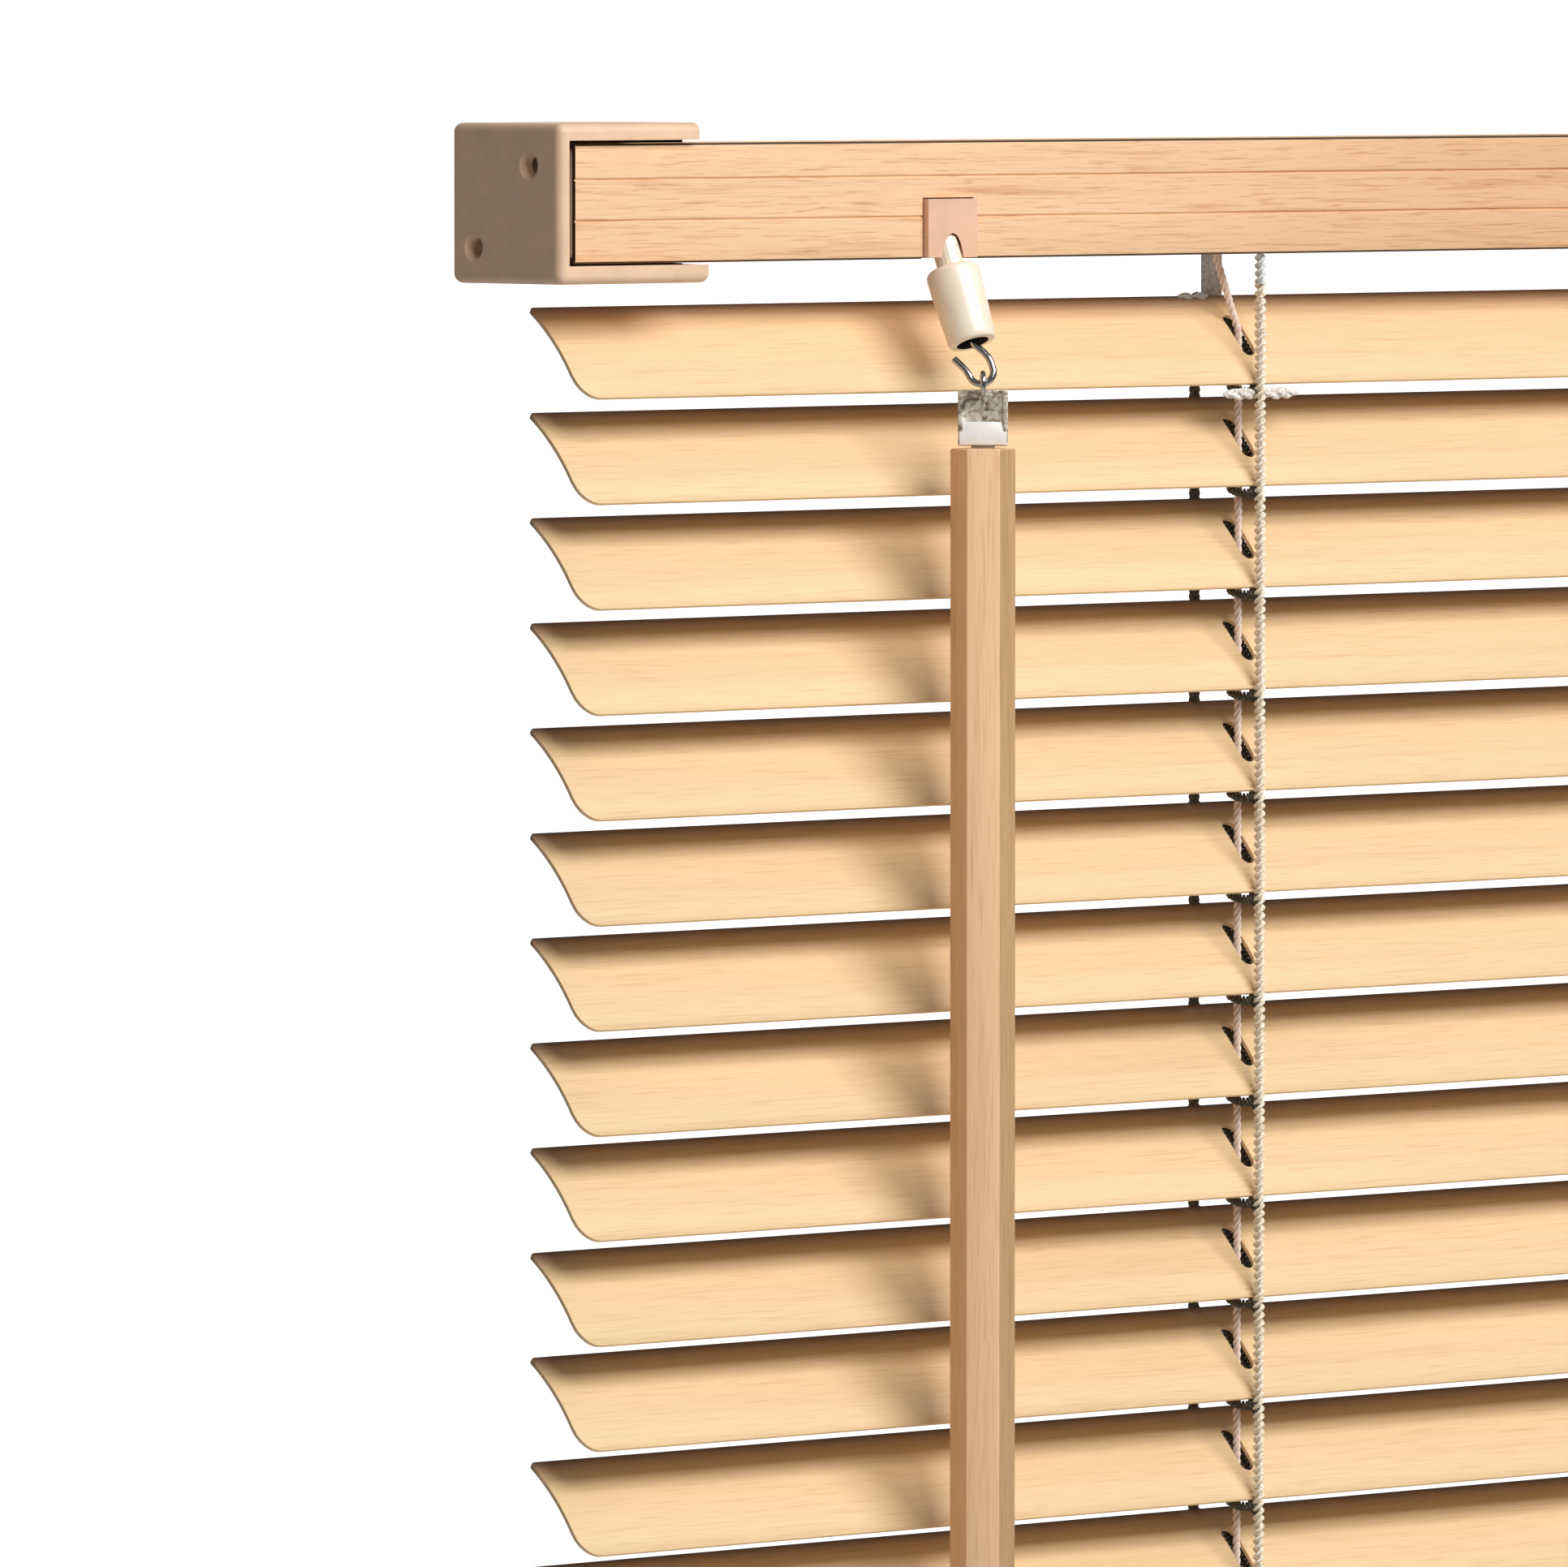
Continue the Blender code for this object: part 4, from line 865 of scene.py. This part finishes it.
STRING_LOOK_RADIUS = 1.3 * MM
BACK_LOOK_RADIUS = 1.25 * MM
LAY = 3.4 * MM
RUNG_SPREAD, RUNG_APART, RUNG_DROP = 1.0 * MM, 3.8 * MM, 1.5 * MM
RUNG_RADIUS = 1.05 * MM
STRING_OUT, LOOSE_OUT = 0.9 * MM, 2.0 * MM
TAIL_WIDTH, TAIL_THICKNESS = 5.6 * MM, 1.1 * MM
TAIL_IN = 5.0 * MM
foot_front, foot_back = bottom_height - 3.2 * MM, bottom_height + 8.4 * MM
for side, name in ((-1, "left"), (1, "right")):
    x = side * (abs(ladder_x) + STRING_OUT)
    back_x = side * (abs(ladder_x) + ladder_skew)
    stands = ["ladder_right"] if side > 0 else [f"ladder_left_{n:02d}" for n in range(1, SLATS + 2)]
    hang(f"ladder_{name}_front", x, -string_y, LADDER_CORD, STRING_LOOK_RADIUS, 2, LAY, stands,
         foot_front, string_top)
    # The back string takes the dark grey yarn: painted shade
    hang(f"ladder_{name}_back", back_x, string_y, SHADED_YARN_PAINT, BACK_LOOK_RADIUS, 4, 6 * MM,
         [], foot_back, slat_heights[0] + 7.5 * MM)
    for number, height in enumerate(slat_heights, 1):
        near = slat_spot(height, -SLAT_WIDTH / 2 - 0.9 * MM, -0.9 * MM)
        far = slat_spot(height, SLAT_WIDTH / 2 + 0.9 * MM, -0.9 * MM)
        strands = []
        for shift in (RUNG_APART - RUNG_SPREAD, RUNG_APART + RUNG_SPREAD):
            apart = side * (abs(cord_x) - shift)
            line = [(x, -string_y, near[1] - 1.4 * MM), (x, near[0], near[1])]
            line += [(apart, *slat_spot(height, across, -RUNG_DROP)) for across in
                     (-8 * MM, -4 * MM, 0, 4 * MM, 8 * MM)]
            strands.append(line + [(back_x, far[0], far[1]), (back_x, string_y, far[1] + 0.8 * MM)])
        # The slack strand, which droops under the slat's front half
        droop = side * (abs(cord_x) + LOOSE_OUT)
        strands.append([(x, -string_y, near[1] + 0.2 * MM), (droop, -8 * MM, near[1] - 0.2 * MM),
                        (droop, -4 * MM, near[1] - 0.2 * MM), (droop, -1.5 * MM, near[1] + 0.5 * MM),
                        (droop, 1 * MM, near[1] + 4 * MM), (droop, 4 * MM, near[1] + 7.5 * MM),
                        (back_x, string_y - 1 * MM, near[1] + 14 * MM)])
        for strand, line in zip("abc", strands):
            label = f"rung_{name}_{number:02d}{strand}"
            mesh = twisted(label, line, RUNG_RADIUS, 3, LAY, 6)
            # Painted shade: the rungs take the dark grey yarn
            new_object(label, mesh, SHADED_YARN_PAINT, f"slat_{number:02d}")
    # The ladder's head: a flat woven tail at the back and the knots on the first slat
    flat = ((-0.5, -0.3), (-0.42, -0.5), (-0.14, -0.36), (0.14, -0.5), (0.42, -0.5), (0.5, -0.3),
            (0.5, 0.3), (0.42, 0.5), (0.14, 0.36), (-0.14, 0.5), (-0.42, 0.5), (-0.5, 0.3))
    slat_top = slat_heights[0] + 9.2 * MM
    head = []
    for z, narrow, inward in ((string_top, 0.8, 0.8), (bottom, 1.0, 1.0), (slat_top, 1.0, 1.0),
                              (slat_top - 2 * MM, 0.6, 0.6), (slat_top - 6 * MM, 0.3, 0)):
        middle = Vector((back_x - side * TAIL_IN * inward, string_y, z))
        head.append([middle + Vector((px * TAIL_WIDTH * narrow, py * TAIL_THICKNESS, 0))
                     for px, py in flat])
    new_object(f"ladder_{name}_tail", swept(f"ladder_{name}_tail", head, smooth=30), TAIL_AND_SHADE_YARN,
               "headrail")
    near = slat_spot(slat_heights[0], -SLAT_WIDTH / 2 - 0.6 * MM, 0)
    spindle(f"ladder_{name}_front_knot", Vector((x - side * 1.7 * MM, near[0], near[1] - 1.5 * MM)),
            22 * MM, 1.35 * MM, KNOT_CORD, "slat_01")
    far = slat_spot(slat_heights[0], SLAT_WIDTH / 2 - 0.2 * MM, 1.0 * MM)
    spindle(f"ladder_{name}_back_knot", Vector((back_x + side * 3.4 * MM, *far)), 9 * MM, 0.9 * MM,
            TAIL_AND_SHADE_YARN, "slat_01")

LIFT_LOOK_RADIUS, LIFT_LAY, LIFT_IN = 0.9 * MM, 5 * MM, 0.6 * MM
for side, name in ((-1, "left"), (1, "right")):
    out_x, in_x = side * abs(cord_exit_x), side * (abs(cord_x) - LIFT_IN)
    pieces = [
        ("top", [(out_x, cord_y, cord_high.z), (out_x, cord_y, bottom - 1 * MM),
                 (in_x, cord_y, STACK_ANCHOR)], None),
        ("run", [(in_x, cord_y, STACK_ANCHOR), (in_x, cord_y, slat_heights[-1])], RUN_MOTION),
        ("foot", [(in_x, cord_y, slat_heights[-1]), (in_x, cord_y, cord_low.z)], FOOT_MOTION),
    ]
    for part, line, motion in pieces:
        piece = cord_piece(f"lift_cord_{name}_{part}", line, LIFT_CORD, LIFT_LOOK_RADIUS, 3, LIFT_LAY, motion)
        if part == "run":
            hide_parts("lift_cord_" + name)

# Inner parts and the bottom rail keep their own shapes
for node, look, slot in (
    ("tilter_housing", NOSE_PLASTIC, "beech_plastic"), ("tilter_worm", SLEEVE_PLASTIC, "beech_plastic"),
    ("tilter_gear", NYLON, "nylon"), ("drum_left", NYLON, "nylon"), ("drum_right", NYLON, "nylon"),
    ("cradle_left", NYLON, "nylon"), ("cradle_right", NYLON, "nylon"), ("cord_lock", NYLON, "nylon"),
    ("rail_plug_left", NYLON, "nylon"), ("rail_plug_right", NYLON, "nylon"),
    ("tilt_rod", STEEL, "steel"), ("cord_lock_roller", STEEL, "steel"),
    ("bottom_rail", RAIL_FOIL, "wood_foil"), ("bottom_cap_left", BEECH_PLASTIC, "beech_plastic"),
    ("bottom_cap_right", BEECH_PLASTIC, "beech_plastic"),
    ("cord_button_left", BEECH_PLASTIC, "beech_plastic"),
    ("cord_button_right", BEECH_PLASTIC, "beech_plastic"),
):
    paint(NODES[node].data, look)

for node, width in (("tilter_housing", 0.55 * MM), ("bottom_cap_left", 0.4 * MM),
                    ("bottom_cap_right", 0.4 * MM)):
    bevel = NODES[node].modifiers.new("soft_edges", "BEVEL")
    bevel.width = width
    bevel.segments = 3
    bevel.limit_method = "ANGLE"
    bevel.angle_limit = math.radians(60)
    bevel.harden_normals = True

# Studio
EYE = Vector((-2.657, -2.523, 0.0292))
YAW, PITCH = math.radians(42), math.radians(2.853)
ahead = Vector((math.sin(YAW) * math.cos(PITCH), math.cos(YAW) * math.cos(PITCH), -math.sin(PITCH)))


def plain(name, colour, emission=0.0):
    made = bpy.data.materials.new(name)
    made.use_nodes = True
    shader = made.node_tree.nodes["Principled BSDF"]
    shader.inputs["Base Color"].default_value = (*colour, 1)
    shader.inputs["Roughness"].default_value = 0.9
    if emission:
        shader.inputs["Emission Color"].default_value = (1, 1, 1, 1)
        shader.inputs["Emission Strength"].default_value = emission
    return made


def sheet(name, centre, across, up, width, height, look):
    corners = [centre + across * sx * width / 2 + up * sy * height / 2
               for sx, sy in ((-1, -1), (1, -1), (1, 1), (-1, 1))]
    obj = raw(name, mesh_of(name, corners, [(0, 1, 2, 3)], 0))
    obj.data.materials.append(look)
    return obj


FLOOR_HEIGHT, FLOOR_WIDTH = -1.3, 12
BACKDROP_AWAY, BACKDROP_WIDTH, BACKDROP_HEIGHT = 38, 36, 28
sheet("floor", Vector((0, 0, FLOOR_HEIGHT)), Vector((1, 0, 0)), Vector((0, 1, 0)), FLOOR_WIDTH, FLOOR_WIDTH,
      plain("floor_paint", (0.9, 0.9, 0.9)))
across = Vector((math.cos(YAW), -math.sin(YAW), 0))
sheet("backdrop", EYE + ahead * BACKDROP_AWAY, across, across.cross(ahead),
      BACKDROP_WIDTH, BACKDROP_HEIGHT, plain("backdrop_paint", (1, 1, 1), 1.1))

world = bpy.data.worlds.new("studio")
bpy.context.scene.world = world
world.use_nodes = True
world.node_tree.nodes["Background"].inputs["Color"].default_value = (0.99, 0.97, 0.98, 1)
world.node_tree.nodes["Background"].inputs["Strength"].default_value = 0.14

# The one lamp: a soft box in front, a little to the right and above, aimed at the part in view
KEY_AIM = Vector((-0.3, 0, -0.12))
KEY_TURN, KEY_RISE, KEY_AWAY = math.radians(276), math.radians(37), 2.4
KEY_WIDTH, KEY_HEIGHT, KEY_WATTS = 2.3, 1.0, 66
key = bpy.data.lights.new("key", "AREA")
key.shape = "RECTANGLE"
key.size, key.size_y = KEY_WIDTH, KEY_HEIGHT
key.energy = KEY_WATTS
lamp = bpy.data.objects.new("key", key)
out = Vector((math.cos(KEY_TURN) * math.cos(KEY_RISE), math.sin(KEY_TURN) * math.cos(KEY_RISE),
              math.sin(KEY_RISE)))
turn = out.to_track_quat("Z", "Y").to_matrix().to_4x4()
lamp.matrix_world = Matrix.Translation(KEY_AIM + out * KEY_AWAY) @ turn
bpy.context.scene.collection.objects.link(lamp)

LENS = 369.1
camera = bpy.data.cameras.new("camera")
camera.lens = LENS
camera.sensor_width = 36
camera.clip_start, camera.clip_end = 0.1, 100
eye = bpy.data.objects.new("camera", camera)
eye.matrix_world = Matrix.Translation(EYE) @ (-ahead).to_track_quat("Z", "Y").to_matrix().to_4x4()
bpy.context.scene.collection.objects.link(eye)
bpy.context.scene.camera = eye
bpy.context.scene.view_settings.view_transform = "Standard"
